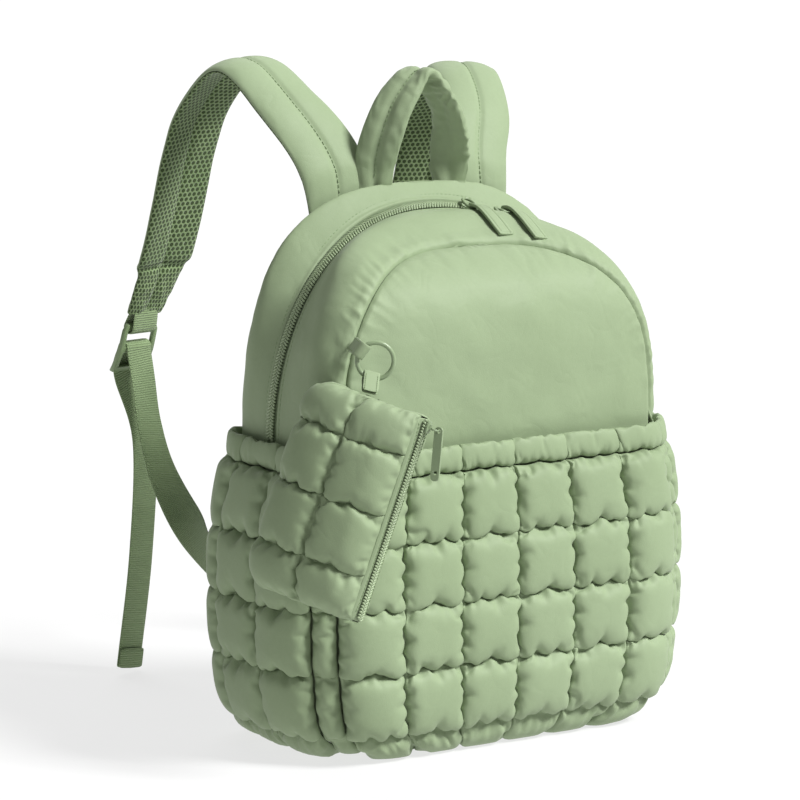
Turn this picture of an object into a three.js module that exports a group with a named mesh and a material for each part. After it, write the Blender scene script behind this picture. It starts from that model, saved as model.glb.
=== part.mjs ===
// A quilted puffer backpack: a smooth fabric bag with an arched zip, wrapped below by a quilted
// pocket with a gathered hem, two padded shoulder straps, a carry handle and a small zipped pouch
// that hangs from a split ring. Millimetres, +Z up, front towards -Y, the base stands on z = 0.
import * as THREE from "three";

// Quilted pocket
const quiltRows = 4;
const rowHeight = 44;
const tuckHeight = 21; // lowest row, which curves under to the base
const hemHeight = 18;
const pocketHalfWidth = 162; // to the quilting seams at the widest height
const pocketFrontReach = 94;
const pocketBackReach = 57;
const pocketCornerRadius = 58;
const backSeamHalfWidth = 127;
const backCornerDepth = 34;
const channelWidth = 18; // narrow unquilted strip down each front corner
const quiltLining = 2.5; // wall behind the seams
const quiltLoft = 8.5; // how far a cell stands proud of its seams
const seamCrest = 0.4;
const hemFold = 3.2;
const hemScallop = 1.5;

// Smooth bag
const archRise = 161; // from the hem to the crest of the bag
const wall = 2.4;
const pocketGap = 2; // empty pockets lie flat against the bag
const seamGap = 0.4;
const zipPlace = 0.41; // between the back seam and the front one
const zipOpening = 11;
const zipTapeThickness = 1.2;
const zipRecess = 0.7;
const zipTuck = 1.8; // between the tape and the edges of its opening
const chainWidth = 5;
const chainHeight = 1.3;
const zipEndDepth = 45; // the zip ends this far below the hem
const zipEndGap = 5; // from the end of its opening
const chainSlope = 0.3; // the chain's edges slope by this much
const basePanelThickness = 3;
const basePanelInset = 0.9; // inside the quilting's tucked edge
const baseClearance = 9; // from the base panel up to the bag's lower edge
const backPanelThickness = 8;
const backPanelCrown = 3;
const frontPanelCrown = 7;

// Shoulder straps and webbing
const strapSpacing = 124;
const strapWidth = 54;
const strapThickness = 9;
const strapLean = [
  { name: "left", side: -1, splay: 48, rise: 102 },
  { name: "right", side: 1, splay: 62, rise: 92 },
]; // how far each leans outwards, and rises from its seam to the top of its arch
const strapReach = 194; // how far it arches backwards
const strapHang = 193; // from the top of the arch to the end of the pad
const strapSeat = 2.6; // its foot stands this far over the seam
const webbingWidth = 25;
const webbingThickness = 1.6;
const bucklePlate = { width: 34, height: 40, thickness: 4, bar: 5.5, round: 4, flare: 1.5 };
const buckleSlotClearance = 0.9;
const threadGap = 0.5;
const loopReach = 4; // from the pad's end to the buckle's top bar
const tailFloorGap = 3;
const tailBow = 8; // how far the hanging tail bows inwards
const tailHemHeight = 16;
const anchorHeight = 92;
const anchorTabHeight = 44;
const anchorTabReach = 26;
const anchorTabThickness = 3.6;
const anchorTabMargin = 1; // wider than its webbing at each edge
const anchorTabSeat = { in: 2.5, back: 1.2 }; // from the bag's back corner

// Carry handle
const handleSpan = 68; // between the middles of its legs
const handleRise = 79;
const handleWidth = 28;
const handleThickness = 8;
const handleSeat = 0.1; // between its feet and the bag, over the seam gap
const handlePlace = 0.14; // between the back seam and the front one
const handleLean = 2; // its crest leans forward of its feet

// Main zip's sliders and pulls
const sliderPlaces = [
  { name: "left", across: 30 },
  { name: "right", across: 55 },
];
const slider = { length: 11, width: 9, height: 3.4 };
const bail = { halfLength: 7.2, halfWidth: 4.6, wire: 1.1 };
const bailGap = 0.3; // between wire and slider
const pullWidth = 11;
const pullThickness = 2.2;
const pullGap = 0.35; // between the pull and the gusset
const pullSag = { top: 1.4, rest: 0.8 }; // how far the pull stands off over the gap
const pullPlaces = { from: zipPlace + 0.165, to: 0.975 }; // from its bail to the front seam

// Split ring and pouch
const ringRadius = 12.2; // to the middle of the wire
const ringWire = 1.6;
const ringPlace = { across: -119, out: -101, height: 280.5 };
const ringTurn = -30; // degrees, the way it faces
const tabWidth = 11;
const tabThickness = 1.2;
const seamTabHeight = 288; // where the ring's tab leaves the front seam
const seamTabPlace = 0.985; // just behind the front seam
const tabSeat = 1.2; // a tab's folded end stands this far off what carries it
const pouchTabPlace = 2; // across the pouch's top edge
const pouchWidth = 86;
const pouchHeight = 144;
const pouchFill = 13; // half thickness in the middle
const pouchWall = 2.2;
const pouchLoft = 5;
const pouchTurn = -58; // degrees, the way its face looks round the bag's corner
const pouchLean = 12; // degrees, how far its foot is pushed out by the quilting
const pouchTilt = 15; // degrees, how far it has swung in its own plane
const pouchBend = 6; // how far its long edges curl back round the corner
const pouchCentre = { across: -155, out: -103, height: 192 };
const pouchCornerRadius = 22;
const pouchZip = { bulge: 2, inset: 6, thickness: 1.4, chain: 4.4, chainHeight: 1.2 };
const pouchSlider = { length: 9, width: 7, height: 2.4, place: 0.042 };
const crown = { reach: 2.6, halfWidth: 3.4, wire: 0.7 };
const pullTab = { length: 36, width: 6.4, thickness: 1.6, eye: 1.5, hole: 1.4, rim: 1.5, holeRim: 2.5 };

// Sizes that follow
const pocketHeight = tuckHeight + quiltRows * rowHeight + hemHeight;
const hemSeam = pocketHeight - hemHeight;
const bagInset = quiltLining + pocketGap;
const bodyFloor = basePanelThickness + baseClearance; // inside the tucked quilting

// Shares of the pocket's own sizes, from the floor to the hem
const pocketSections = [
  { height: 0, width: 0.64, front: 0.6, back: 0.66, corner: 0.69, backWidth: 0.84 },
  { height: 0.028, width: 0.775, front: 0.79, back: 0.86, corner: 0.8, backWidth: 0.945 },
  { height: 0.098, width: 0.922, front: 0.936, back: 0.93, corner: 0.9, backWidth: 0.99 },
  { height: 0.302, width: 0.988, front: 0.989, back: 0.982, corner: 1, backWidth: 1 },
  { height: 0.507, width: 1, front: 1, back: 1, corner: 1, backWidth: 1 },
  { height: 0.712, width: 0.986, front: 0.989, back: 1, corner: 0.96, backWidth: 1 },
  { height: 0.916, width: 0.925, front: 0.957, back: 0.982, corner: 0.79, backWidth: 1 },
  { height: 1, width: 0.9, front: 0.936, back: 0.982, corner: 0.69, backWidth: 1 },
];

// Arches of the smooth bag from its back seam (0) to its front seam (1): top as a share of the
// rise, depth of the crown as a share of the pocket's front reach, roundness of the outline
const archSections = [
  { place: 0, top: 0.985, depth: 0.31, roundness: 2.6 },
  { place: 0.2, top: 1, depth: 0.26, roundness: 2.4 },
  { place: zipPlace, top: 0.945, depth: 0.16, roundness: 2.05 },
  { place: 0.7, top: 0.885, depth: -0.09, roundness: 2.5 },
  { place: 1, top: 0.783, depth: -0.365, roundness: 3 },
];
const archLean = 3; // how late an arch leans from its foot's depth to its crown's

// Strap route from its seam: shares of the splay, the reach and the rise or the hang
const strapRoute = [
  { out: 0, back: 0, rise: 0, hang: 0 },
  { out: 0.02, back: 0.07, rise: 0.36, hang: 0 },
  { out: 0.33, back: 0.2, rise: 0.73, hang: 0 },
  { out: 0.56, back: 0.43, rise: 1, hang: 0 },
  { out: 0.75, back: 0.65, rise: 1, hang: 0.17 },
  { out: 0.8, back: 0.74, rise: 1, hang: 0.33 },
  { out: 0.83, back: 0.85, rise: 1, hang: 0.62 },
  { out: 0.87, back: 0.92, rise: 1, hang: 0.8 },
  { out: 1, back: 1, rise: 1, hang: 1 },
];

// Webbing from the corner tab up to the buckle: shares of the way in, back and up
const webbingRoute = [
  { in: 0, back: 0, up: 0 },
  { in: 0.75, back: 0.46, up: 0.17 },
  { in: 1.05, back: 0.78, up: 0.39 },
  { in: 1.14, back: 0.93, up: 0.62 },
  { in: 1.1, back: 0.98, up: 0.85 },
  { in: 1, back: 1, up: 1 },
];
// Hanging tail: shares of the bow and of the drop to the floor
const tailRoute = [
  { bow: 1.9, drop: 0.3 },
  { bow: 1.4, drop: 0.65 },
  { bow: -0.1, drop: 1 },
];

const degrees = Math.PI / 180;
const vec = (x, y, z) => new THREE.Vector3(x, y, z);
const mix = (a, b, t) => a + (b - a) * t;

const fabric = { color: 0xa9bd98, roughness: 0.62, metalness: 0 };
const quilted = { color: 0xa3b892, roughness: 0.6, metalness: 0 };
const mesh3d = { color: 0x7f9c6b, roughness: 0.9, metalness: 0 };
const webbing = { color: 0x6f8a5e, roughness: 0.85, metalness: 0 };
const moulded = { color: 0x7a9468, roughness: 0.45, metalness: 0 };
const painted = { color: 0x9db58b, roughness: 0.4, metalness: 0.1 };

// Value of one column of a table at a place along it, by a smooth curve through its rows
function tableValue(table, key, column, at) {
  const last = table.length - 1;
  let i = 0;
  while (i < last - 1 && at > table[i + 1][key]) i++;
  const [a, b] = [table[i], table[i + 1]];
  const span = b[key] - a[key];
  const t = Math.min(Math.max((at - a[key]) / span, 0), 1);
  const slope = (j) => {
    const before = table[Math.max(j - 1, 0)];
    const after = table[Math.min(j + 1, last)];
    return ((after[column] - before[column]) / (after[key] - before[key])) * span;
  };
  const [t2, t3] = [t * t, t * t * t];
  return (
    (2 * t3 - 3 * t2 + 1) * a[column] +
    (t3 - 2 * t2 + t) * slope(i) +
    (3 * t2 - 2 * t3) * b[column] +
    (t3 - t2) * slope(i + 1)
  );
}

// Closed surface from triangles of points, turned so that its faces point out
function closedGeometry(triangles) {
  const same = (a, b) => a.distanceToSquared(b) < 1e-8;
  const kept = triangles.filter(([a, b, c]) => !same(a, b) && !same(b, c) && !same(c, a));
  const volume = kept.reduce((sum, [a, b, c]) => sum + a.dot(b.clone().cross(c)), 0);
  const facing = volume < 0 ? kept.map(([a, b, c]) => [a, c, b]) : kept;
  return new THREE.BufferGeometry().setFromPoints(facing.flat());
}

// Wall between an outer and an inner grid of points
function slab(outer, inner) {
  const triangles = [];
  const quad = (a, b, c, d) => triangles.push([a, b, c], [a, c, d]);
  const [rows, columns] = [outer.length - 1, outer[0].length - 1];
  for (let i = 0; i < rows; i++) {
    for (let j = 0; j < columns; j++) {
      quad(outer[i][j], outer[i + 1][j], outer[i + 1][j + 1], outer[i][j + 1]);
      quad(inner[i][j], inner[i][j + 1], inner[i + 1][j + 1], inner[i + 1][j]);
    }
  }
  for (let i = 0; i < rows; i++) {
    quad(outer[i][0], inner[i][0], inner[i + 1][0], outer[i + 1][0]);
    quad(outer[i + 1][columns], inner[i + 1][columns], inner[i][columns], outer[i][columns]);
  }
  for (let j = 0; j < columns; j++) {
    quad(outer[0][j + 1], inner[0][j + 1], inner[0][j], outer[0][j]);
    quad(outer[rows][j], inner[rows][j], inner[rows][j + 1], outer[rows][j + 1]);
  }
  return closedGeometry(triangles);
}

// Solid through closed sections of the same number of points, with flat ends
function loft(sections) {
  const triangles = [];
  const count = sections[0].length;
  for (let k = 0; k < sections.length - 1; k++) {
    for (let i = 0; i < count; i++) {
      const n = (i + 1) % count;
      const [a, b] = [sections[k], sections[k + 1]];
      triangles.push([a[i], a[n], b[n]], [a[i], b[n], b[i]]);
    }
  }
  for (const [section, turned] of [
    [sections[0], true],
    [sections.at(-1), false],
  ]) {
    const middle = section.reduce((sum, p) => sum.add(p), vec(0, 0, 0)).divideScalar(count);
    for (let i = 0; i < count; i++) {
      const [a, b] = [section[i], section[(i + 1) % count]];
      triangles.push(turned ? [middle, b, a] : [middle, a, b]);
    }
  }
  return closedGeometry(triangles);
}

function mirrored(geometry) {
  const triangles = [];
  const at = geometry.getAttribute("position");
  const point = (i) => vec(-at.getX(i), at.getY(i), at.getZ(i));
  for (let i = 0; i < at.count; i += 3) triangles.push([point(i), point(i + 1), point(i + 2)]);
  return closedGeometry(triangles);
}

const bag = new THREE.Group();
function addPiece(name, geometry, look) {
  const piece = new THREE.Mesh(geometry, new THREE.MeshStandardMaterial(look));
  piece.name = name;
  bag.add(piece);
}

function addPair(name, geometry, look) {
  addPiece(name + "_left", geometry, look);
  addPiece(name + "_right", mirrored(geometry), look);
}

// Half of the pocket's plan at a height, from its back edge round the left corner to the front
function halfPlan(height) {
  const share = Math.min(Math.max(height / pocketHeight, 0), 1);
  const at = (column) => tableValue(pocketSections, "height", column, share);
  const width = pocketHalfWidth * at("width");
  const front = pocketFrontReach * at("front");
  const back = pocketBackReach * at("back");
  const radius = pocketCornerRadius * at("corner");
  const backWidth = backSeamHalfWidth * at("backWidth");
  const points = [];
  const backSteps = 7;
  const cornerSteps = 10;
  for (let i = 0; i <= backSteps; i++) {
    const turn = (i / backSteps) * 90 * degrees;
    const x = -(backWidth + (width - backWidth) * Math.sin(turn));
    points.push(vec(x, back - backCornerDepth + backCornerDepth * Math.cos(turn), height));
  }
  for (let i = 0; i <= cornerSteps; i++) {
    const turn = (i / cornerSteps) * 90 * degrees;
    const x = -(width - radius + radius * Math.cos(turn));
    points.push(vec(x, -(front - radius + radius * Math.sin(turn)), height));
  }
  points.push(vec(0, -front, height));
  const lengths = [0];
  for (let i = 1; i < points.length; i++) {
    lengths.push(lengths[i - 1] + points[i].distanceTo(points[i - 1]));
  }
  return { points, lengths, corner: lengths[backSteps + 1 + cornerSteps / 2], end: lengths.at(-1) };
}

function pointAlong(plan, length) {
  let i = 1;
  while (i < plan.lengths.length - 1 && plan.lengths[i] < length) i++;
  const span = plan.lengths[i] - plan.lengths[i - 1];
  return plan.points[i - 1].clone().lerp(plan.points[i], (length - plan.lengths[i - 1]) / span);
}

// Columns of the quilting, counted from the left back edge to the right one
const sideColumns = 3;
const frontColumns = 6;
const frontMiddle = sideColumns + 1 + frontColumns / 2;
const allColumns = 2 * frontMiddle;

function seamPoint(column, height) {
  const plan = halfPlan(height);
  const left = column <= frontMiddle ? column : allColumns - column;
  const [rear, fore] = [plan.corner - channelWidth / 2, plan.corner + channelWidth / 2];
  let length = mix(fore, plan.end, (left - sideColumns - 1) / (frontColumns / 2));
  if (left < sideColumns) length = (rear * left) / sideColumns;
  else if (left < sideColumns + 1) length = mix(rear, fore, left - sideColumns);
  const point = pointAlong(plan, length);
  if (column > frontMiddle) point.x = -point.x;
  return point;
}

// Outward direction of a surface given as a function of two parameters
function outward(surface, a, b, stepA, stepB) {
  const alongA = surface(a + stepA, b).sub(surface(a - stepA, b));
  const alongB = surface(a, b + stepB).sub(surface(a, b - stepB));
  return alongA.cross(alongB).normalize();
}

function pocketPoint(column, height, offset) {
  const inside = Math.min(Math.max(column, 0.03), allColumns - 0.03);
  const level = Math.min(Math.max(height, 1), pocketHeight - 1);
  const normal = outward(seamPoint, inside, level, 0.03, 1);
  return seamPoint(column, height).addScaledVector(normal, offset);
}

// Quilting
const cellSteps = [
  { at: 0, loft: 0 },
  { at: 0.27, loft: 1 },
  { at: 0.73, loft: 1 },
];
const rowSteps = [
  { at: 0, loft: 0 },
  { at: 0.22, loft: 0.9 },
  { at: 0.74, loft: 1 },
];
const channelSteps = [
  { at: 0, loft: 0 },
  { at: 0.5, loft: 0.45 },
];
const rowSeams = [seamGap, tuckHeight];
for (let row = 1; row <= quiltRows; row++) rowSeams.push(tuckHeight + row * rowHeight);
const tuckLoft = 0.35; // the row under the bag is squeezed

function stations(seams, steps) {
  const found = [];
  for (let i = 0; i < seams.length - 1; i++) {
    for (const step of steps) {
      found.push({ at: mix(seams[i], seams[i + 1], step.at), loft: step.loft, cell: i });
    }
  }
  found.push({ at: seams.at(-1), loft: 0, cell: seams.length - 2 });
  return found;
}

function wholeNumbers(from, to) {
  return Array.from({ length: to - from + 1 }, (_, i) => from + i);
}

// Seam gaps in columns, so that neighbouring panels stand clear of each other
const edgeTrim = 0.005;
function trimmed(columns) {
  const [first, last] = [columns[0], columns.at(-1)];
  const [low, high] = [first + edgeTrim * trimOf(first), last - edgeTrim * trimOf(last)];
  return (at) => Math.min(Math.max(at, low), high);
}
function trimOf(column) {
  const channelEdge = column === sideColumns || column === allColumns - sideColumns;
  return channelEdge ? 2 : 1;
}

function quiltPanel(columns, steps) {
  const across = stations(columns, steps);
  const up = stations(rowSeams, rowSteps);
  const trim = trimmed(columns);
  const rows = (offset) =>
    across.map((c) =>
      up.map((r) => {
        const puff = c.loft * r.loft * (r.cell ? 1 : tuckLoft);
        return pocketPoint(trim(c.at), r.at, offset(puff));
      }),
    );
  return slab(
    rows((puff) => seamCrest + quiltLoft * puff),
    rows(() => -quiltLining),
  );
}

// Gathered hem: a fold dips at every quilting seam and between them
const gatherSteps = [
  { at: 0, loft: 0 },
  { at: 0.3, loft: 1 },
  { at: 0.62, loft: 0.5 },
];
function hemPanel(columns) {
  const across = stations(columns, gatherSteps);
  const up = [
    { at: hemSeam + seamGap, bulge: 0.1, rise: 0 },
    { at: mix(hemSeam, pocketHeight, 0.35), bulge: 1, rise: 0 },
    { at: mix(hemSeam, pocketHeight, 0.8), bulge: 0.8, rise: 0 },
    { at: pocketHeight, bulge: 0, rise: hemScallop },
  ];
  const trim = trimmed(columns);
  const rows = (offset) =>
    across.map((c) =>
      up.map((r) => {
        const point = pocketPoint(trim(c.at), r.at, offset(c.loft * r.bulge));
        point.z += r.rise * c.loft;
        return point;
      }),
    );
  return slab(
    rows((fold) => seamCrest + hemFold * fold),
    rows(() => -quiltLining),
  );
}

const frontEdge = sideColumns + 1;
addPair("quilted_side", quiltPanel(wholeNumbers(0, sideColumns), cellSteps), quilted);
addPair("gathered_hem_side", hemPanel(wholeNumbers(0, sideColumns)), quilted);
addPiece("quilted_front", quiltPanel(wholeNumbers(frontEdge, allColumns - frontEdge), cellSteps), quilted);
addPiece("gathered_hem_front", hemPanel(wholeNumbers(frontEdge, allColumns - frontEdge)), quilted);

// The plain strip down the corner between the side and the front quilting
function cornerChannel() {
  const columns = [sideColumns, frontEdge];
  const trim = trimmed(columns);
  const across = stations(columns, channelSteps);
  const up = stations([...rowSeams, pocketHeight], rowSteps);
  const rows = (offset) =>
    across.map((c) => up.map((r) => pocketPoint(trim(c.at), r.at, offset(c.loft * r.loft))));
  return slab(
    rows((puff) => seamCrest + quiltLoft * puff),
    rows(() => -quiltLining),
  );
}
addPair("corner_channel", cornerChannel(), quilted);

// Base panel inside the tucked edge of the quilting
function basePanel() {
  const outline = wholeNumbers(0, 2 * allColumns).map((i) => pocketPoint(i / 2, 0, 0));
  const inside = (value) => value - Math.sign(value) * basePanelInset;
  const shape = new THREE.Shape(outline.map((p) => new THREE.Vector2(inside(p.x), inside(p.y))));
  return new THREE.ExtrudeGeometry(shape, { depth: basePanelThickness, bevelEnabled: false });
}
addPiece("base_panel", basePanel(), fabric);

// The smooth bag. Its surface is a function of the place from back seam to front seam and of a
// station round the outline: a height on one side below the hem, an angle over the arch above it
const seamColumn = sideColumns + 0.72; // where the front seam's foot stands on the pocket's plan
const bodyShares = [0.14, 0.302, 0.507, 0.712, 0.828, 0.93];
const bodyHeights = [bodyFloor, ...bodyShares.map((share) => share * pocketHeight)];
const archSteps = 18;
const bodyStations = [
  ...bodyHeights.map((height) => ({ side: -1, height })),
  ...wholeNumbers(0, archSteps).map((i) => ({ angle: 180 - (i * 180) / archSteps })),
  ...[...bodyHeights].reverse().map((height) => ({ side: 1, height })),
];

function footPoint(place, height, inset) {
  return pocketPoint(place * seamColumn, height, -bagInset - inset);
}

function bagPoint(place, station, inset = 0) {
  if (station.height !== undefined) {
    const point = footPoint(place, station.height, inset);
    return vec(-station.side * point.x, point.y, point.z);
  }
  const foot = footPoint(place, pocketHeight, inset);
  const at = (column) => tableValue(archSections, "place", column, place);
  const power = 2 / at("roundness");
  const [cos, sin] = [Math.cos(station.angle * degrees), Math.sin(station.angle * degrees)];
  const lift = Math.pow(Math.abs(sin), power);
  const crownDepth = pocketFrontReach * at("depth") + (place > 0.5 ? inset * 0.5 : 0);
  return vec(
    -foot.x * Math.sign(cos) * Math.pow(Math.abs(cos), power),
    mix(foot.y, crownDepth, Math.pow(lift, archLean)),
    pocketHeight + (archRise * at("top") - inset) * lift,
  );
}

function bagNormal(place, station) {
  const near = (p) => Math.min(Math.max(p, 0), 1);
  const turned = (step) =>
    station.height === undefined
      ? { angle: Math.min(Math.max(station.angle - step, 0), 180) }
      : { side: station.side, height: station.height - station.side * step };
  const along = bagPoint(near(place + 0.02), station).sub(bagPoint(near(place - 0.02), station));
  const round = bagPoint(place, turned(1)).sub(bagPoint(place, turned(-1)));
  return along.cross(round).normalize();
}

// Station over the arch at a distance across from the middle
function stationAcross(place, across) {
  const half = Math.abs(footPoint(place, pocketHeight, 0).x);
  const roundness = tableValue(archSections, "place", "roundness", place);
  const cos = Math.pow(Math.abs(across) / half, roundness / 2);
  return { angle: Math.acos(Math.sign(across) * cos) / degrees };
}

// Sine of the station's angle where an arch reaches a height
function seamLift(place, height) {
  const at = (column) => tableValue(archSections, "place", column, place);
  const lift = (height - pocketHeight) / (archRise * at("top"));
  return Math.pow(lift, at("roundness") / 2);
}

// How much of the place parameter a width takes at a station
function placeWidth(place, station, width) {
  const step = 0.02;
  const length = bagPoint(place + step, station).distanceTo(bagPoint(place - step, station));
  return (width * 2 * step) / length;
}

function openForZip(station) {
  return station.height === undefined || station.height > pocketHeight - zipEndDepth;
}

// A strip of the gusset between two places, which may shift along the outline
function gussetStrip(from, to, steps) {
  const rows = (inset) =>
    bodyStations.map((station) =>
      wholeNumbers(0, steps).map((i) =>
        bagPoint(mix(from(station), to(station), i / steps), station, inset),
      ),
    );
  return slab(rows(0), rows(wall));
}

function zipSide(station, side) {
  const opening = openForZip(station) ? zipOpening : seamGap;
  return zipPlace + side * placeWidth(zipPlace, station, opening / 2);
}

addPiece("rear_gusset", gussetStrip(() => 0, (s) => zipSide(s, -1), 4), fabric);
addPiece(
  "front_gusset",
  gussetStrip(
    (s) => zipSide(s, 1),
    (s) => 1 - placeWidth(0.97, s, seamGap / 2),
    5,
  ),
  fabric,
);

// Zip: a recessed tape with the chain standing up along its middle
function mainZip() {
  const half = zipOpening / 2 - zipTuck;
  const profile = [
    { across: -half, rise: 0 },
    { across: -chainWidth / 2 - chainSlope, rise: 0 },
    { across: -chainWidth / 2, rise: chainHeight },
    { across: chainWidth / 2, rise: chainHeight },
    { across: chainWidth / 2 + chainSlope, rise: 0 },
    { across: half, rise: 0 },
  ];
  const open = bodyStations.filter(openForZip);
  const raised = ({ side, height }) => ({ side, height: height + zipEndGap });
  const line = [raised(open[0]), ...open.slice(1, -1), raised(open.at(-1))];
  const rows = (offset) =>
    line.map((station) =>
      profile.map(({ across, rise }) => {
        const place = zipPlace + placeWidth(zipPlace, station, across);
        return bagPoint(place, station).addScaledVector(bagNormal(place, station), offset(rise));
      }),
    );
  return slab(
    rows((rise) => rise - zipRecess),
    rows(() => -zipRecess - zipTapeThickness),
  );
}
addPiece("main_zip", mainZip(), webbing);

// Panels framed by a seam: rows run across from the left edge to the right one
const panelSteps = [-1, -0.93, -0.72, -0.4, 0, 0.4, 0.72, 0.93, 1];
const leftStations = bodyStations.filter((s) => s.side === -1 || s.angle >= 90);

function frontPanel() {
  const rows = (inset) =>
    leftStations.map((station) => {
      const edge = bagPoint(1, station, inset);
      const reach = Math.max(Math.abs(edge.x) - seamGap, 0);
      const outer = bagPoint(1, station);
      const fullness = Math.min(Math.abs(outer.x) / (0.6 * pocketHalfWidth), 1);
      const apex = station.angle === undefined ? 0 : seamGap * Math.sin(station.angle * degrees);
      return panelSteps.map((t) => {
        const crown = (1 - Math.pow(Math.abs(t), 3)) * frontPanelCrown * fullness;
        const below = station.height === undefined ? 1 : 0.9;
        return vec(t * reach, edge.y - crown * below, edge.z - apex);
      });
    });
  return slab(rows(0), rows(wall));
}
addPiece("front_panel", frontPanel(), fabric);

function backPanel() {
  const rows = (offset) =>
    leftStations.map((station) => {
      const edge = bagPoint(0, station);
      const over = station.angle === undefined ? 0 : Math.sin(station.angle * degrees);
      const away = 2 * seamGap + (wall + seamGap) * over;
      const reach = Math.max(Math.abs(edge.x) - away * (1 - 0.6 * over), 0);
      return [-1, -0.7, 0, 0.7, 1].map((t) => {
        const crown = backPanelCrown * (1 - Math.pow(Math.abs(t), 4));
        const height = Math.max(edge.z - away * over, bodyFloor);
        return vec(t * reach, edge.y + offset(crown), height);
      });
    });
  return slab(
    rows((crown) => seamGap + crown),
    rows(() => seamGap - backPanelThickness + backPanelCrown),
  );
}
addPiece("back_panel", backPanel(), mesh3d);

// Curve through points and a frame at each of its stations
function route(points, count) {
  return new THREE.CatmullRomCurve3(points, false, "catmullrom", 0.5).getSpacedPoints(count);
}

function framesAlong(points, widthAt) {
  return points.map((point, i) => {
    const ahead = points[Math.min(i + 1, points.length - 1)];
    const behind = points[Math.max(i - 1, 0)];
    const forward = ahead.clone().sub(behind).normalize();
    const wide = widthAt(i / (points.length - 1)).clone();
    wide.addScaledVector(forward, -wide.dot(forward)).normalize();
    return { point, wide, out: wide.clone().cross(forward).normalize() };
  });
}

// Band of a padded section: two stuffed tubes either side of a stitched valley
function paddedBand(frames, width, thickness, shapeAt) {
  const profile = [
    { across: -1, rise: 0.25 },
    { across: -0.74, rise: 0.95 },
    { across: 0, rise: 0.55 },
    { across: 0.74, rise: 0.95 },
    { across: 1, rise: 0.25 },
  ];
  const loop = [
    ...profile.map((p) => ({ ...p, face: 1 })),
    ...[...profile].reverse().map((p) => ({ ...p, face: -1 })),
  ];
  const sections = frames.map(({ point, wide, out }, i) => {
    const { widthShare, thickShare, curl } = shapeAt(i / (frames.length - 1));
    return loop.map(({ across, rise, face }) =>
      point
        .clone()
        .addScaledVector(wide, (across * width * widthShare) / 2)
        .addScaledVector(out, (face * rise * thickness * thickShare) / 2 - curl * across * across),
    );
  });
  return loft(sections);
}

function ribbon(frames, width, thickness) {
  const sections = frames.map(({ point, wide, out }) =>
    [
      [-1, -1],
      [1, -1],
      [1, 1],
      [-1, 1],
    ].map(([a, b]) =>
      point
        .clone()
        .addScaledVector(wide, (a * width) / 2)
        .addScaledVector(out, (b * thickness) / 2),
    ),
  );
  return loft(sections);
}

// Points of a ribbon turned round a bar or wire: both legs run off along the pull
function turnRound(middle, pull, side, radius, legs = 0) {
  const steps = 6;
  const arc = wholeNumbers(0, steps).map((i) => {
    const turn = (180 * i * degrees) / steps;
    return middle
      .clone()
      .addScaledVector(side, radius * Math.cos(turn))
      .addScaledVector(pull, -radius * Math.sin(turn));
  });
  if (!legs) return arc;
  const leg = (point) => point.clone().addScaledVector(pull, legs);
  return [leg(arc[0]), ...arc, leg(arc.at(-1))];
}

// Shoulder strap with its buckle and webbing
const strapTaper = 0.88; // where the pad starts to narrow to its webbing
const strapCurl = 4;
const strapEndShare = 0.66;
const strapYaw = 16; // degrees, the way the hanging half has turned
const buckleLean = { out: 0.12, back: 0.35 }; // against a fall of one
const slotHeight = (bucklePlate.height - 3 * bucklePlate.bar) / 2;
const barRound = Math.hypot(bucklePlate.bar, bucklePlate.thickness) / 2;
const turnRadius = barRound + threadGap + webbingThickness / 2;

function ladderLock(top, wide, up, out) {
  const { width, height: h, thickness, bar, round, flare } = bucklePlate;
  const [w, foot] = [width / 2, width / 2 + flare];
  const shape = new THREE.Shape();
  shape.moveTo(-w, -round);
  shape.lineTo(-w + round, 0);
  shape.lineTo(w - round, 0);
  shape.lineTo(w, -round);
  shape.lineTo(foot, round - h);
  shape.lineTo(foot - round, -h);
  shape.lineTo(round - foot, -h);
  shape.lineTo(-foot, round - h);
  const slotWidth = webbingWidth / 2 + buckleSlotClearance;
  for (const slotTop of [-bar, -2 * bar - slotHeight]) {
    const slot = new THREE.Path();
    slot.moveTo(-slotWidth, slotTop);
    slot.lineTo(-slotWidth, slotTop - slotHeight);
    slot.lineTo(slotWidth, slotTop - slotHeight);
    slot.lineTo(slotWidth, slotTop);
    shape.holes.push(slot);
  }
  const plate = new THREE.ExtrudeGeometry(shape, { depth: thickness, bevelEnabled: false });
  plate.translate(0, 0, -thickness / 2);
  const basis = new THREE.Matrix4().makeBasis(wide, up, wide.clone().cross(up));
  return plate.applyMatrix4(basis.setPosition(top));
}

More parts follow.
